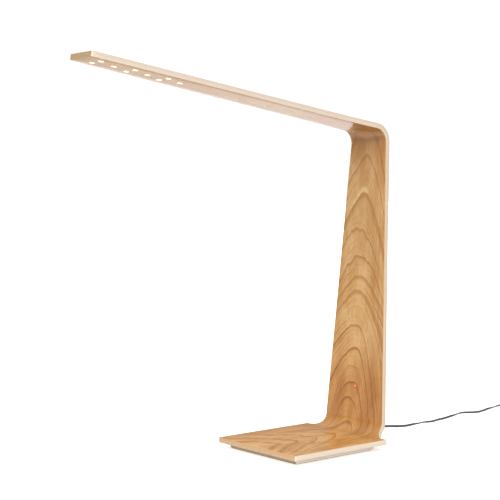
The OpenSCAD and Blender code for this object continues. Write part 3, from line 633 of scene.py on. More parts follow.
def oak_face(name, shift=0.0, mirror=1, bend_shade_and_reflection=True):
    """Lacquered oak veneer with arched grain that runs on round the bends, and where asked painted shade, a
    painted reflection and a painted crease shadow at the upper bend.
    """
    m = Shader(name)
    sheet = m.uv("sheet")
    across, along = m.split(sheet)
    across = m.times(across, mirror)
    height = m.minus(along, GRAIN_FOOT - shift)
    off_middle = m.math("ABSOLUTE", m.minus(across, GRAIN_MIDDLE))
    on_base = m.ranged(height, -0.05, 0.02, 1, 0)

    # Noises, each stretched to so many waves a metre across the sheet and along it
    fleck = m.noise(m.stretched(sheet, 420, 60), detail=3, rough=0.6)
    fibre = m.noise(m.stretched(sheet, 1300, 60), detail=4, rough=0.6)
    blotch = m.noise(m.stretched(sheet, 55, 16), detail=3)
    pores = m.ranged(m.noise(m.stretched(sheet, 2300, 130)), 0.60, 0.72)

    # The arch through each place, swayed and frayed
    level = grain_level(m, height, across, off_middle)
    sway = m.noise(m.stretched(sheet, 30, 16))
    fray = m.noise(m.stretched(sheet, 125, 40), detail=3, rough=0.6)
    torn = m.scaled(m.pulse(level, 0.20, 0.22, 0.265, 0.28), 0.010, 0.005)
    torn = m.scaled(on_base, 0.014, torn)
    level = m.scaled(m.minus(sway, 0.5), m.ranged(height, -0.05, 0.02, 0.045, 0.010), level)
    level = m.scaled(m.minus(fray, 0.5), torn, level)
    number = m.curve(level, [(ring, k) for k, ring in enumerate(RING_HEIGHTS)])
    gap = m.curve(level, list(ring_gaps()))
    through = m.math("FRACT", number)

    # Dark lines at the end of each ring, thicker in some places and fainter in others
    widen = m.ranged(off_middle, 0.010, 0.042, 1, 1.7)
    thick = m.times(m.pulse(level, 0.168, 0.174, 0.204, 0.212), 0.5)
    thick = m.math("MAXIMUM", thick, m.ranged(level, 0.24, 0.31, 0, 0.9))
    thick = m.scaled(on_base, 0.8, m.math("ADD", thick, 1))
    main = ring_lines(m, number, gap, m.times(widen, thick), *RING_LINE)
    faint_low = m.pulse(level, 0.070, 0.077, 0.089, 0.095)
    faint_high = m.pulse(level, 0.146, 0.152, 0.166, 0.171)
    main = m.times(main, m.scaled(m.math("MAXIMUM", faint_low, faint_high), -0.65, 1))
    weight = m.scaled(on_base, -0.06, m.ranged(level, 0.11, 0.17, 0.95, 0.56))
    weight = m.times(weight, m.ranged(height, 0.01, 0.05, 0.7, 1))

    # Finer lines between them, mostly away from the middle
    fine_gap = m.math("DIVIDE", gap, FINE_LINES)
    minor = ring_lines(m, m.times(number, FINE_LINES), fine_gap, widen, *FINE_LINE)
    minor = m.times(minor, m.ranged(on_base, 0, 1, 0.70, 0.50))
    minor = m.times(minor, m.ranged(off_middle, 0.003, 0.022, 0.30, 1.25))
    minor = m.times(minor, m.ranged(blotch, 0.36, 0.60, 0.65, 1))

    # Streaks down the flank that is on the right as the photograph shows it
    taper = m.ranged(height, 0, STEM_RISE, STEM_FOOT_W / 2, STEM_TOP_W / 2, "LINEAR")
    share_across = m.math("DIVIDE", across, taper)
    flank_place = m.node("CombineXYZ", m.times(share_across, 8), m.times(height, 3)).outputs[0]
    streak = m.ranged(m.noise(flank_place, detail=3, rough=0.55), 0.44, 0.58)
    flank = m.times(m.ranged(share_across, -0.60, -0.15, 1, 0), m.pulse(height, 0.05, 0.18, 0.42, 0.5))
    streak = m.times(streak, flank)

    # Early wood just above a line, and one pale crest
    light = m.times(m.ranged(through, 0.1, 0.3, 1, 0), m.ranged(fleck, 0.5, 0.65))
    crest_side = m.pulse(across, -0.008, -0.001, 0.020, 0.032)
    crest = m.times(m.pulse(level, 0.307, 0.310, 0.313, 0.318), crest_side)

    # The tones of each place, then the lines, the streaks and the fibres laid over them
    deep = m.times(m.ranged(height, -0.04, 0.03, 0.26, 1), m.ranged(height, 0.045, 0.14, 1, 0))
    pale, rich, dark = (
        m.mixed(deep, m.mixed(on_base, srgb(*stem), srgb(*base)), srgb(*foot))
        for stem, base, foot in OAK_TONES
    )
    colour = m.mixed(m.ranged(blotch, 0.34, 0.66), pale, rich)
    colour = m.tinted(colour, m.pulse(height, 0.05, 0.10, 0.17, 0.23), 0.16, srgb(246, 204, 134))
    # Painted shade on the stem just under the upper bend, then a painted orange reflection of the stem
    # across the bend and onto the arm
    if bend_shade_and_reflection:
        colour = m.tinted(colour, m.pulse(height, 0.335, 0.366, 0.372, 0.380), 0.28, srgb(150, 106, 62))
        colour = m.tinted(colour, m.pulse(height, 0.376, 0.385, 0.47, 0.52), 0.75, srgb(192, 130, 50))
    colour = m.tinted(colour, m.ranged(through, 0.3, 1), 0.06, dark)
    colour = m.tinted(colour, light, 0.3, srgb(236, 208, 160))
    colour = m.tinted(colour, crest, 0.7, srgb(234, 212, 160))
    colour = m.mixed(minor, colour, dark)
    colour = m.tinted(colour, streak, 0.30, dark)
    colour = m.tinted(colour, main, weight, dark)
    # Painted shadow in the crease where the upper bend starts, uneven along it
    if bend_shade_and_reflection:
        crease_shadow = m.pulse(height, 0.3695, 0.376, 0.3775, 0.3825)
        uneven = m.ranged(m.noise(m.stretched(sheet, 45, 30)), 0.3, 0.6, 0.30, 0.60)
        colour = m.tinted(colour, crease_shadow, uneven, srgb(118, 70, 22))
    colour = m.mixed(m.ranged(fleck, 0.48, 0.75, 0, 0.26), colour, dark)
    colour = m.mixed(m.ranged(fibre, 0.42, 0.75, 0, 0.40), colour, dark)
    colour = m.tinted(colour, pores, 0.30, srgb(112, 70, 34))
    m.set(Base_Color=colour, Specular_IOR_Level=0.12, Coat_Weight=0.5, Coat_Roughness=0.13, Coat_IOR=1.5)
    m.gloss(fibre, 0.45, 0.58)
    m.bump(m.minus(fibre, m.times(pores, 0.8)), 0.00004)
    return m.material


def ply_edge():
    """Sanded edge of the plies: pale layers with thin darker glue lines between them."""
    m = Shader("ply_edge")
    edge = m.uv("edge")
    _, depth = m.split(edge)
    _, along = m.split(m.uv("sheet"))
    glue = srgb(218, 194, 164)
    layers = (
        (0, srgb(196, 154, 108)), (INNER_D, srgb(247, 238, 226)), (CORE_D, srgb(243, 232, 217)),
        (OUTER_D, srgb(239, 229, 219)), (BACK_D, srgb(220, 192, 154)),
    )
    seam = 0.00008
    stops = []
    for start, tone in layers:
        if start:
            stops.append((start / RIBBON_T, glue))
        stops.append(((start + seam) / RIBBON_T, tone))
    colour = m.ramp(m.math("DIVIDE", depth, RIBBON_T), stops)
    plain = m.times(m.pulse(along, 0.52, 0.55, 0.65, 0.80), m.math("LESS_THAN", depth, INNER_D))
    colour = m.tinted(colour, plain, 0.8, srgb(240, 226, 204))
    colour = m.tinted(colour, m.pulse(along, 0.15, 0.2, 0.5, 0.56), 0.3, srgb(228, 196, 156))
    colour = m.mixed(m.ranged(along, 0.15, 0.18, 0.55, 0), colour, srgb(252, 240, 222))
    colour = m.mixed(m.ranged(along, 0.54, 0.60, 0, 0.25), colour, srgb(236, 224, 218))
    grain = m.noise(m.stretched(edge, 60, 5200), detail=4, rough=0.6)
    speck = m.noise(m.stretched(edge, 900, 3000), detail=3)
    colour = m.mixed(m.ranged(grain, 0.42, 0.72, 0, 0.16), colour, srgb(212, 182, 146))
    colour = m.mixed(m.ranged(speck, 0.6, 0.75, 0, 0.22), colour, srgb(184, 146, 106))
    m.set(Base_Color=colour, Coat_Weight=0.25, Coat_Roughness=0.25)
    m.gloss(grain, 0.42, 0.58)
    m.bump(grain, 0.00004)
    return m.material


def end_grain():
    """Sawn ends of the ribbon, darker and more open than its sides."""
    m = Shader("end_grain")
    edge = m.uv("edge")
    _, depth = m.split(edge)
    _, along = m.split(m.uv("sheet"))
    at_tip = m.math("GREATER_THAN", along, STEM_START)
    pores = m.noise(m.stretched(edge, 2600, 2600), detail=3)
    band = m.noise(m.stretched(edge, 160, 900), detail=3)
    front = m.mixed(m.ranged(depth, 0.0004, 0.0045), srgb(210, 168, 122), srgb(218, 188, 152))
    light = m.mixed(at_tip, front, srgb(176, 152, 116))
    dark = m.mixed(at_tip, srgb(206, 168, 126), srgb(162, 138, 102))
    colour = m.mixed(m.ranged(band, 0.35, 0.65), light, dark)
    colour = m.mixed(m.ranged(pores, 0.55, 0.7, 0, 0.22), colour, srgb(140, 108, 72))
    m.set(Base_Color=colour, Roughness=0.55, Coat_Weight=0.2, Coat_Roughness=0.3)
    m.bump(pores, 0.00005)
    return m.material


def mottled(name, light, dark, scale, roughness, metallic=0.0):
    """Even material with fine mottling in its colour, its gloss and its surface."""
    m = Shader(name)
    fine = m.noise(m.place(), scale, detail=4)
    broad = m.noise(m.place(), scale / 12)
    share = m.math("ADD", m.times(fine, 0.6), m.times(broad, 0.4))
    m.set(Base_Color=m.mixed(m.ranged(share, 0.35, 0.65), srgb(*light), srgb(*dark)), Metallic=metallic)
    m.gloss(fine, roughness - 0.06, roughness + 0.06)
    m.bump(fine, 0.00002)
    return m.material


def plate_paint_and_shade():
    """White lacquer of the weight plate, with painted shade on its front side, which is darker olive."""
    m = Shader("plate_paint_and_shade")
    place = m.place()
    grit = m.noise(place, 1400, detail=4)
    x, _ = m.split(place)
    edge_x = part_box("weight_plate")[0].x
    # Painted shade: the front side, under the base's overhang, is darker olive
    front = m.ranged(x, edge_x + 0.0006, edge_x + 0.0016, 1, 0)
    white = m.mixed(grit, srgb(255, 253, 250), srgb(250, 248, 243))
    m.set(Base_Color=m.mixed(front, white, srgb(176, 168, 140)))
    m.gloss(grit, 0.36, 0.46)
    m.bump(grit, 0.00002)
    return m.material


def glowing(name, middle, rim, reach, strength):
    """Frosted plastic lit from behind, brightest in the middle."""
    m = Shader(name)
    radius, _ = m.split(m.uv("turn"))
    grit = m.noise(m.place(), 4000)
    edge = m.ranged(radius, 0.45 * reach, reach)
    colour = m.mixed(edge, srgb(*middle), srgb(*rim))
    m.set(Base_Color=colour, Emission_Color=colour)
    m.set(Emission_Strength=m.ranged(edge, 0, 1, strength, strength * 0.25, "LINEAR"))
    m.gloss(grit, 0.3, 0.45)
    m.bump(grit, 0.00001)
    return m.material


def sleeved_pin():
    """Plug pin: bright metal at its tip, black sleeve nearer the adapter."""
    m = Shader("sleeved_pin")
    place = m.place()
    _, y = m.split(place)
    sleeve_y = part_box("adapter_pins")[0].y + PIN_BARE
    bare = m.ranged(y, sleeve_y - 0.0001, sleeve_y + 0.0001, 1, 0)
    fine = m.noise(m.stretched(place, 3000, 300, 3000), detail=3)
    share = m.ranged(fine, 0.3, 0.7)
    metal = m.mixed(share, srgb(200, 200, 202), srgb(168, 169, 172))
    sleeve = m.mixed(share, srgb(36, 37, 39), srgb(28, 29, 31))
    m.set(Base_Color=m.mixed(bare, sleeve, metal), Metallic=bare)
    m.gloss(fine, 0.25, 0.4)
    m.bump(fine, 0.00001)
    return m.material


def cord_sleeve():
    """Matt slate-grey flex."""
    m = Shader("cord_sleeve")
    fine = m.noise(m.place(), 2500, detail=3)
    m.set(Base_Color=m.mixed(m.ranged(fine, 0.3, 0.7), srgb(74, 86, 88), srgb(52, 62, 64)))
    m.gloss(fine, 0.42, 0.55)
    m.bump(fine, 0.00002)
    return m.material


def felt():
    """Grey felt with short loose fibres."""
    m = Shader("felt")
    fibre = m.noise(m.place(), 1800, detail=6, rough=0.7)
    tuft = m.noise(m.place(), 240, detail=3)
    colour = m.mixed(m.ranged(fibre, 0.3, 0.7), srgb(92, 92, 90), srgb(58, 58, 57))
    m.set(Base_Color=m.mixed(m.ranged(tuft, 0.35, 0.7, 0, 0.4), colour, srgb(112, 111, 108)))
    m.set(Roughness=0.95, Sheen_Weight=0.3)
    m.bump(fibre, 0.00025)
    return m.material


# The ribbon's layers
SMALLEST = 1e-7
BEND_ROWS = 32
ROW_MARGIN = 0.0002
SLOT_MARGIN = 0.001
HOLE_MARGIN = 0.0012
HOLE_RIM = 0.0001
HOLE_ROUNDING = 0.3
HOLE_SIDES = 40
SHEET_STEP = 0.009
LEAST_COLUMNS = 4
LEAST_MITRE = 0.3
END_REACH = 0.0005


def sheet_point(along, across, depth):
    """Point of the ribbon at a distance along its hollow side, a distance across and a depth below."""
    if along < LOW_START:
        flat = Vector((along - BASE_LEN / 2, BASE_TOP - depth))
    elif along < STEM_START:
        angle = (along - LOW_START) / LOW_BEND_R - math.pi / 2
        flat = LOW_CENTRE + (LOW_BEND_R + depth) * Vector((math.cos(angle), math.sin(angle)))
    elif along < TOP_START:
        flat = LOW_CORNER + (along - STEM_START + LOW_TANGENT) * UP_STEM + depth * BACK_OF_STEM
    elif along < ARM_START:
        angle = (along - TOP_START) / TOP_BEND_R - STEM_LEAN
        flat = TOP_CENTRE + (TOP_BEND_R + depth) * Vector((math.cos(angle), math.sin(angle)))
    else:
        flat = TOP_CORNER + (along - ARM_START + TOP_TANGENT) * ALONG_ARM + depth * ABOVE_ARM
    return in_space(flat, across)


def half_outline(depth):
    """Corners of the sheet's side at a depth, as (along, across), from the base's front to the tip."""
    def at_cut(cut):
        return LOW_START + LOW_BEND_R * (SHOULDER_CUT + math.asin(cut / (LOW_BEND_R + depth)))

    def at_height(z):
        up = (z - BASE_TOP + depth * math.sin(STEM_LEAN)) / math.cos(STEM_LEAN)
        return STEM_START + up - LOW_TANGENT

    def at_x(x):
        run = (TOP_CORNER[0] + depth * math.sin(ARM_TILT) - x) / math.cos(ARM_TILT)
        return ARM_START + run - TOP_TANGENT

    corners = []
    for angle in quarter(4):
        along = BASE_CORNER_R * (1 - math.cos(angle))
        corners.append((along, BASE_W / 2 - BASE_CORNER_R * (1 - math.sin(angle))))
    corners.append((at_cut(SHOULDER_T), BASE_W / 2))
    for angle in quarter(14):
        cut = SHOULDER_T + SHOULDER_R * (1 - math.cos(angle))
        corners.append((at_cut(cut), FOOT_HALF + SHOULDER_R * (1 - math.sin(angle))))
    corners.append((at_height(STEM_LOW_Z), FOOT_HALF))
    corners.append((at_height(STEM_HIGH_Z), TOP_HALF))
    corners.append((at_x(ARM_BEND_X), TOP_HALF))
    neck = at_x(ARM_NECK_X)
    corners.append((neck, ARM_NECK_W / 2))
    reach = (TIP - neck) / (at_x(ARM_TIP_X) - neck)
    tip_half = ARM_NECK_W / 2 + reach * (ARM_TIP_W - ARM_NECK_W) / 2
    for angle in quarter(6):
        along = TIP - TIP_CORNER_R * (1 - math.sin(angle))
        corners.append((along, tip_half - TIP_CORNER_R * (1 - math.cos(angle))))
    return corners


def sheet_rows():
    """Distances along the sheet of its rows of points, close together in the bends."""
    stretches = (
        (0, LOW_START, 13), (LOW_START, STEM_START, BEND_ROWS), (STEM_START, TOP_START, 30),
        (TOP_START, ARM_START, BEND_ROWS), (ARM_START, TIP, 36),
    )
    for start, stop, count in stretches:
        for k in range(count):
            yield start + (stop - start) * k / count, count == BEND_ROWS


def half_width(line, along):
    """Half width of the sheet at a distance along its side line."""
    for (s0, w0), (s1, w1) in zip(line, line[1:]):
        if s0 <= along <= s1 and s1 - s0 > SMALLEST:
            return w0 + (w1 - w0) * (along - s0) / (s1 - s0)
    return 0


def cut_sheet(depth, round_holes, slots):
    """Flat triangles of the sheet at a depth, less its holes: points and triples of their numbers."""
    rows = list(sheet_rows())
    corners = half_outline(depth)
    line = []
    for a, b in zip(corners, corners[1:]):
        line.append(a)
        for along, _ in rows:
            if a[0] + ROW_MARGIN < along < b[0] - ROW_MARGIN:
                share = (along - a[0]) / (b[0] - a[0])
                line.append((along, a[1] + share * (b[1] - a[1])))
    line.append(corners[-1])

    points, edges = [], []

    def loop(ring):
        first = len(points)
        points.extend(Vector(p) for p in ring)
        edges.extend((first + k, first + (k + 1) % len(ring)) for k in range(len(ring)))

    # The two ends have points between their corners
    front = [(0, w) for w in (0.03, 0, -0.03)]
    end_w = line[-1][1]
    tip = [(TIP, w) for w in (-0.4 * end_w, 0.4 * end_w)]
    loop([(s, -w) for s, w in line] + tip + [(s, w) for s, w in reversed(line)] + front)
    turns = [2 * math.pi * k / HOLE_SIDES for k in range(HOLE_SIDES)]
    for along, across, radius in round_holes:
        loop([(along + radius * math.cos(t), across + radius * math.sin(t)) for t in turns])
    for low, high, width in slots:
        side = [along for along, _ in rows if low + SLOT_MARGIN < along < high - SLOT_MARGIN]
        side = [low] + side + [high]
        loop([(along, -width / 2) for along in side] + [(along, width / 2) for along in reversed(side)])

    def in_hole(along, across, margin):
        near_round = any(math.hypot(along - s, across - y) < r + margin for s, y, r in round_holes)
        near_slot = any(
            low - margin < along < high + margin and abs(across) < width / 2 + margin
            for low, high, width in slots
        )
        return near_round or near_slot

    for along, bent in rows[1:]:
        width = half_width(line, along)
        count = max(LEAST_COLUMNS, round(2 * width / SHEET_STEP))
        inner = [-width + 2 * width * k / count for k in range(1, count)]
        inner = [y for y in inner if not in_hole(along, y, HOLE_MARGIN)]
        first = len(points)
        points.extend(Vector((along, y)) for y in inner)
        if bent and not slots:
            edges.extend((first + k, first + k + 1) for k in range(len(inner) - 1))
    flat, _, triangles, _, _, _ = geometry.delaunay_2d_cdt(points, edges, [], 0, SMALLEST)
    kept = []
    for triangle in triangles:
        middle = sum((flat[i] for i in triangle), Vector((0, 0))) / 3
        inside = abs(middle[1]) < half_width(line, middle[0])
        if inside and not in_hole(middle[0], middle[1], 0):
            a, b, c = (flat[i] for i in triangle)
            area = (b - a).cross(c - a)
            if abs(area) > SMALLEST * SMALLEST:
                kept.append(list(triangle) if area > 0 else list(reversed(triangle)))
    used = sorted({i for triangle in kept for i in triangle})
    number = {old: new for new, old in enumerate(used)}
    return [flat[i] for i in used], [[number[i] for i in triangle] for triangle in kept]


def rim_edges(triangles):
    """Edges on the sheet's rims, each with the sheet on its left."""
    edges = [edge for a, b, c in triangles for edge in ((a, b), (b, c), (c, a))]
    known = set(edges)
    return [edge for edge in edges if (edge[1], edge[0]) not in known]


def make_layer(node, slot, materials, levels, round_holes, slots=()):
    """One layer of the ribbon. levels lists (depth, inset) from its hollow side to its back."""
    flat, triangles = cut_sheet(levels[0][0], round_holes, slots)
    rims = rim_edges(triangles)
    after = dict(rims)
    before = {b: a for a, b in rims}
    inward, run = {}, {}
    for b in after:
        into = (flat[b] - flat[before[b]]).normalized()
        out_of = (flat[after[b]] - flat[b]).normalized()
        first = Vector((-into[1], into[0]))
        second = Vector((-out_of[1], out_of[0]))
        inward[b] = (first + second) / max(LEAST_MITRE, 1 + first.dot(second))
    for start in after:
        if start not in run:
            run[start] = 0.0
            here = start
            while after[here] not in run:
                run[after[here]] = run[here] + (flat[after[here]] - flat[here]).length
                here = after[here]

    def on_hole(place):
        return any(
            abs(math.hypot(place[0] - s, place[1] - y) - r) < HOLE_RIM for s, y, r in round_holes
        )

    last = len(levels) - 1
    points, numbers = [], []
    for level, (depth, inset) in enumerate(levels):
        number = {}
        for i, place in enumerate(flat):
            if i not in after and level not in (0, last):
                continue
            if i in after:
                place = place + inward[i] * inset * (HOLE_ROUNDING if on_hole(place) else 1)
            number[i] = len(points)
            points.append(sheet_point(place[0], place[1], depth))
        numbers.append(number)

    faces, picks, sheet_pairs, edge_pairs = [], [], [], []

    def add(corners, pick):
        """Adds a face from corners given as (point, level, run)."""
        faces.append([numbers[level][i] for i, level, _ in corners])
        picks.append(pick)
        for i, level, length in corners:
            sheet_pairs.append((flat[i][1], flat[i][0]))
            edge_pairs.append((length, levels[level][0]))

    for triangle in triangles:
        add([(i, 0, flat[i][0]) for i in triangle], 0)
        add([(i, last, flat[i][0]) for i in reversed(triangle)], 0)
    for a, b in rims:
        at_end = all(not END_REACH <= flat[i][0] <= TIP - END_REACH for i in (a, b))
        start = run[a]
        stop = start + (flat[b] - flat[a]).length
        for level in range(last):
            corners = [(a, level, start), (a, level + 1, start), (b, level + 1, stop), (b, level, stop)]
            add(corners, 2 if at_end else 1)
    uvs = {"sheet": sheet_pairs, "edge": edge_pairs}
    layer = mesh_object(node + "_sheet", points, faces, materials, picks, uvs)
    return dress(layer, slot, "lamp", node)


def make_ribbon(oak, back_oak, edge, ends):
    stem_shift = STEM_START - LOW_TANGENT
    arm_shift = ARM_START - TOP_TANGENT
    front_holes = [(arm_shift + run, across, LENS_D / 2 + WOOD_GAP) for run, across in light_places()]
    front_holes.append((stem_shift + BUTTON_H, 0, BUTTON_D / 2 + BUTTON_GAP))
    screw_places = [(x, y) for x in (-SCREW_X, SCREW_X) for y in (-SCREW_Y, SCREW_Y)]
    screws = [(BASE_LEN / 2 + x, y, SCREW_D / 2 + WOOD_GAP) for x, y in screw_places]
    back_holes = screws + [(stem_shift + GLAND_H, 0, GLAND_SLEEVE_D / 2 + WOOD_GAP)]
    first_row = arm_shift + ARM_LEN - LIGHT_END
    board_start = first_row - (LIGHT_ROWS - 1) * LIGHT_PITCH - LED_BOARD_END
    board_stop = first_row + LED_BOARD_END
    control_start = stem_shift + GLAND_H - GLAND_SLEEVE_D
    control_stop = stem_shift + CONTROL_HIGH + POCKET_GAP
    pockets = [
        (board_start - POCKET_GAP, board_stop + POCKET_GAP, LED_BOARD_W + 2 * POCKET_GAP),
        (stem_shift + BUTTON_H, board_start, CHANNEL_W),
        (control_start, control_stop, CONTROL_W + 2 * POCKET_GAP),
    ]
    rounding = ((0, 0.00035), (0.00005, 0.00018), (0.00017, 0.00005), (0.00035, 0), (VENEER_T, 0))
    back_rounding = [(RIBBON_T - depth, inset) for depth, inset in reversed(rounding)]
    plain = [edge, edge, ends]
    inner, core, outer = (
        ((top, 0), (bottom, 0)) for top, bottom in ((INNER_D, CORE_D), (CORE_D, OUTER_D), (OUTER_D, BACK_D))
    )
    make_layer("inner_veneer", "oak_veneer", [oak, edge, ends], rounding, front_holes)
    make_layer("inner_ply", "ply", plain, inner, front_holes)
    make_layer("core_ply", "ply", plain, core, screws, pockets)
    make_layer("outer_ply", "ply", plain, outer, back_holes)
    make_layer("outer_veneer", "oak_veneer", [back_oak, edge, ends], back_rounding, back_holes)


# Pieces set into the ribbon
def make_turned(name, places, profile, material, slot, body, node, closed=False):
    """Piece with a profile of (radius, height) turned about the z axis of one or more places."""
    points, where, faces = [], [], []
    for place in places:
        rings = []
        for radius, height in profile:
            count = 1 if radius == 0 else TURNED_SIDES
            rings.append(range(len(points), len(points) + count))
            for k in range(count):
                angle = 2 * math.pi * k / TURNED_SIDES
                points.append(place @ Vector((radius * math.cos(angle), radius * math.sin(angle), height)))
                where.append((radius, height))
        spans = list(zip(rings, rings[1:]))
        if closed:
            spans.append((rings[-1], rings[0]))
        for low, high in spans:
            for k in range(TURNED_SIDES):
                around = ((low, k), (low, k + 1), (high, k + 1), (high, k))
                face = list(dict.fromkeys(ring[i % len(ring)] for ring, i in around))
                if len(face) > 2:
                    faces.append(face)
    pairs = [where[i] for face in faces for i in face]
    piece = mesh_object(name, points, faces, [material], uvs={"turn": pairs}, smooth_angle=40)
    return dress(piece, slot, body, node)


def make_lenses(material):
    back = -CORE_D - LENS_RIM_T
    rim = LENS_RIM_D / 2
    radius = LENS_D / 2
    profile = (
        (0, back), (rim, back), (rim, -CORE_D), (radius, -CORE_D), (radius, -0.0002),
        (radius - 0.00006, -0.00006), (radius - 0.0002, 0), (radius - 0.0005, -0.00001),
        (radius * 0.6, -0.0001), (radius * 0.3, -0.00016), (0, -0.00018),
    )
    places = [on_arm(run, across) for run, across in light_places()]
    make_turned("light_lenses", places, profile, material, "lens", "lamp", "lens_discs")


def make_button(cap, pipe):
    seat = -CORE_D - WOOD_GAP
    back = seat - BUTTON_RIM_T
    rim = BUTTON_RIM_D / 2
    radius = BUTTON_D / 2
    bore = PIPE_D / 2 + WOOD_GAP
    face = BUTTON_PROUD
    profile = (
        (bore, back), (rim, back), (rim, seat), (radius, seat), (radius, face - 0.0003),
        (radius - 0.00009, face - 0.00009), (radius - 0.0003, face), (radius - 0.0009, face - 0.00002),
        (radius * 0.6, face - 0.00012), (bore + 0.0001, face - 0.00016), (bore, face - 0.00022),
    )
    place = [on_stem(BUTTON_H)]
    make_turned("button_cap", place, profile, cap, "button_red", "button", "switch_button", closed=True)
    radius = PIPE_D / 2
    profile = (
        (0, back), (radius, back), (radius, face - 0.0002), (radius * 0.85, face - 0.00008),
        (radius * 0.5, face - 0.00002), (0, face),
    )
    make_turned("button_pipe", place, profile, pipe, "light_pipe", "button", "button_light_pipe")


RIB_STEPS = 6
GLAND_RIBS = 6
GLAND_GROOVE = 0.0006
GLAND_WALL = 0.0006
RELIEF_RIBS = 7
RELIEF_GROOVE = 0.0007


def ribbed_taper(start_r, end_r, start, stop, ribs, groove):
    """Profile of a tapered sleeve with round grooves cut across it."""
    profile = []
    steps = ribs * RIB_STEPS
    for k in range(steps + 1):
        share = k / steps
        cut = groove * (0.5 - 0.5 * math.cos(2 * math.pi * share * ribs)) ** 2
        profile.append((start_r + (end_r - start_r) * share - cut, start + (stop - start) * share))
    return profile


def make_gland(material):
    flange = GLAND_FLANGE_D / 2
    sleeve = GLAND_SLEEVE_D / 2
    shelf = RIBBON_T + GLAND_FLANGE_T
    bore = GLAND_BORE_D / 2
    end_r = CORD_ROOM_R + GLAND_WALL
    profile = [
        (bore, OUTER_D), (sleeve, OUTER_D), (sleeve, RIBBON_T), (flange, RIBBON_T),
        (flange, shelf - 0.0006), (flange - 0.0002, shelf - 0.0002), (flange - 0.0006, shelf),
    ]
    root = flange - 0.001
    stop = GLAND_END - 0.0004
    profile += ribbed_taper(root, end_r + 0.0002, shelf, stop, GLAND_RIBS, GLAND_GROOVE)
    profile += [(end_r, GLAND_END), (bore, GLAND_END)]
    place = on_stem(GLAND_H) @ Matrix.Rotation(math.pi, 4, "X")
    name = "gland_sleeve"
    make_turned(name, [place], profile, material, "black_rubber", "lamp", "cord_gland", closed=True)


# Pieces on the cord's far end and under the base
def make_relief(material):
    line, _ = cord_line()
    place = Matrix.Translation(line[-1]) @ Matrix.Rotation(math.pi / 2, 4, "X")
    neck = CORD_ROOM_R + 0.0007
    root = CORD_ROOM_R + 0.0025
    collar = root + 0.002
    wall = RELIEF_LEN + ADAPTER_WALL
    end = wall + ADAPTER_WALL
    profile = [(0, 0), (neck - 0.0004, 0), (neck, 0.0004)]
    profile += ribbed_taper(neck, root, 0.001, RELIEF_LEN - 0.001, RELIEF_RIBS, RELIEF_GROOVE)
    profile += [(root, wall), (collar, wall), (collar, end), (0, end)]
    name = "adapter_relief_sleeve"
    return make_turned(name, [place], profile, material, "black_rubber", "lamp", "adapter_relief")


def make_pad(material):
    low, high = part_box("base_pad")
    size = high - low
    levels = ((0.0004, 0), (0.0001, 0.0001), (0, 0.0003), (0, 0.0007), (0.0001, 0.0009), (0.0004, 0.001))
    points = []
    for inset, height in levels:
        ring = rounded_ring(size.x - 2 * inset, size.y - 2 * inset, PAD_CORNER_R - inset)
        points += [Vector((x, y, height)) for x, y in ring]
    faces = tube_faces(len(points) // len(levels), len(levels))
    pad = mesh_object("felt_sheet", points, faces, [material], smooth_angle=50)
    return dress(pad, "felt_pad", "lamp", "base_pad")


# Solids that keep their own shape
WELD_REACH = 0.000005
SOFT_STEPS = 3
SOFT_ANGLE = math.radians(40)


def finish_solid(name, material, bevel):
    """Gives a solid of the frame its material, and softens its edges."""
    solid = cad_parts[name]
    solid.data.materials.clear()
    solid.data.materials.append(material)
    if bevel:
        weld = solid.modifiers.new("weld", "WELD")
        weld.merge_threshold = WELD_REACH
        soften = solid.modifiers.new("soften", "BEVEL")
        soften.width = bevel
        soften.segments = SOFT_STEPS
        soften.limit_method = "ANGLE"
        soften.angle_limit = SOFT_ANGLE


# Studio
BACKDROP = 1.05


def make_floor(material):
    size = 30
    points = [(-size, -size, 0), (size, -size, 0), (size, size, 0), (-size, size, 0)]
    floor = mesh_object("floor", points, [[0, 1, 2, 3]], [material])
    floor.visible_diffuse = False


def make_light(name, place, target, size, power):
    data = bpy.data.lights.new(name, "AREA")
    data.shape = "SQUARE"
    data.size = size
    data.energy = power
    light = bpy.data.objects.new(name, data)
    light.location = place
    light.rotation_euler = (Vector(target) - Vector(place)).to_track_quat("-Z", "Y").to_euler()
    bpy.context.scene.collection.objects.link(light)


def make_world(below, level, above, tint):
    """Studio air: white behind the object, and a dimmer room round it that lights it."""
    world = bpy.data.worlds.new("studio")
    world.use_nodes = True
    w = Nodes(world.node_tree)
    seen = w.node("LightPath").outputs["Is Camera Ray"]
    up = w.node("SeparateXYZ", w.node("TexCoord").outputs["Generated"]).outputs["Z"]
    low = w.ranged(up, -1, 0, below, level, "LINEAR")
    high = w.ranged(up, 0, 1, 0, above - level)
    strength = w.node("Mix", seen)
    w.put(strength.inputs["A"], w.math("ADD", low, high))
    w.put(strength.inputs["B"], BACKDROP)
    white = w.math("MAXIMUM", w.ranged(up, 0, 0.6, kind="LINEAR"), seen)
    background = world.node_tree.nodes["Background"]
    w.put(background.inputs["Strength"], strength.outputs[0])
    w.put(background.inputs["Color"], w.mixed(white, tint, (1, 1, 1, 1)))
    bpy.context.scene.world = world
    bpy.context.scene.view_settings.view_transform = "Standard"


def floor_white():
    """Bright white table, brighter behind the object."""
    m = Shader("floor_white")
    place = m.place()
    grit = m.noise(place, 60, detail=3)
    x, y = m.split(place)
    m.set(Base_Color=m.mixed(grit, srgb(250, 250, 250), srgb(246, 246, 246)))
    m.set(Roughness=0.7, Specular_IOR_Level=0.2)
    behind = m.ranged(y, 0.4, 0.8)
    warm = m.times(behind, m.ranged(x, 0.5, 1.1, 1, 0))
    m.set(Emission_Color=m.mixed(warm, (1, 0.98, 0.96, 1), (1, 0.74, 0.52, 1)))
    m.set(Emission_Strength=m.scaled(behind, m.ranged(x, 0.4, 1.2, -0.1, 0.55), 0.55))
    return m.material


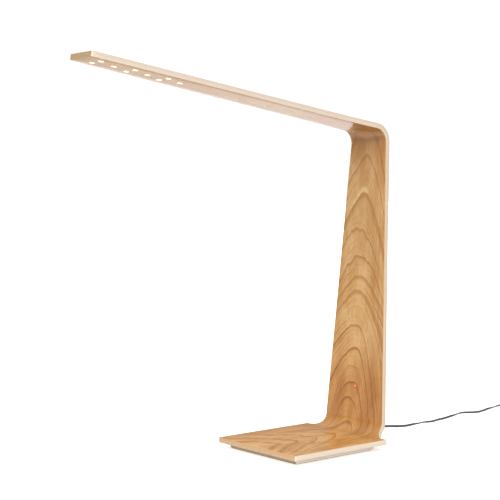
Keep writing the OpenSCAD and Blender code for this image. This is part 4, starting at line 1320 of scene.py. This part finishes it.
# Light and dark tone, scale of the mottling, roughness and metal of the plain materials
PLAIN = {
    "rubber": ((44, 46, 48), (32, 34, 36), 1500, 0.55),
    "black_plastic": ((38, 39, 41), (28, 29, 31), 2200, 0.4),
    "steel": ((186, 188, 190), (160, 162, 165), 1800, 0.3, 1.0),
    "copper": ((214, 140, 100), (196, 118, 80), 1600, 0.3, 1.0),
    "board": ((44, 98, 66), (34, 82, 54), 900, 0.45),
    "white_board": ((236, 236, 230), (224, 224, 218), 900, 0.45),
    "chip_black": ((40, 40, 42), (28, 28, 30), 2600, 0.5),
    "chip_yellow": ((240, 214, 120), (228, 196, 96), 2600, 0.4),
    "tape_yellow": ((222, 190, 70), (204, 170, 56), 900, 0.4),
    "can": ((52, 58, 78), (40, 46, 64), 1400, 0.4),
    "wire_red": ((190, 52, 44), (168, 40, 34), 1800, 0.45),
    "indicator": ((250, 90, 70), (230, 60, 50), 2400, 0.3),
}
# Material and softness of the edges of each solid that keeps its own shape
SOLIDS = {
    "weight_plate": ("plate_paint_and_shade", 0.0004),
    "plate_screws": ("steel", 0),
    "led_board": ("white_board", 0),
    "led_chips": ("chip_yellow", 0),
    "supply_tape_positive": ("copper", 0),
    "supply_tape_negative": ("copper", 0),
    "control_board": ("board", 0),
    "dimmer_chip": ("chip_black", 0),
    "power_inductor": ("chip_black", 0),
    "indicator_led": ("indicator", 0),
    "tact_switch": ("steel", 0),
    "switch_plunger": ("black_plastic", 0),
    "lead_wires": ("wire_red", 0),
    "cord_tie": ("rubber", 0.0002),
    "adapter_back_shell": ("black_plastic", 0.0006),
    "adapter_front_shell": ("black_plastic", 0.0006),
    "adapter_pins": ("sleeved_pin", 0.0009),
    "adapter_board": ("board", 0),
    "adapter_transformer": ("tape_yellow", 0.0004),
    "adapter_capacitor": ("can", 0.0004),
}
LAMP_MIDDLE = (0, 0, 0.25)

make_camera()
cord, cord_path, cord_length = make_cord(cord_sleeve())

looks = {name: mottled(name, *values) for name, values in PLAIN.items()}
looks["plate_paint_and_shade"] = plate_paint_and_shade()
looks["sleeved_pin"] = sleeved_pin()

back_oak = oak_face("oak_back", shift=0.04, mirror=-1, bend_shade_and_reflection=False)
make_ribbon(oak_face("oak_face"), back_oak, ply_edge(), end_grain())
make_lenses(glowing("light_lens", (255, 250, 232), (255, 226, 178), LENS_D / 2, strength=2.2))
make_button(
    glowing("button_glow", (196, 106, 66), (176, 118, 68), BUTTON_D / 2, strength=0.06),
    glowing("pipe_glow", (255, 150, 124), (240, 92, 66), PIPE_D / 2, strength=0.9),
)
make_gland(looks["rubber"])
make_pad(felt())
relief = make_relief(looks["rubber"])
for solid_name, (look, softness) in SOLIDS.items():
    finish_solid(solid_name, looks[look], softness)

make_floor(floor_white())
make_world(below=0.65, level=0.30, above=1.2, tint=(1, 0.86, 0.70, 1))
make_light("key", (0.1, -2.3, 0.5), LAMP_MIDDLE, size=1.5, power=17.5)
make_light("fill", (-2.2, -0.7, 1.0), LAMP_MIDDLE, size=1.6, power=36)
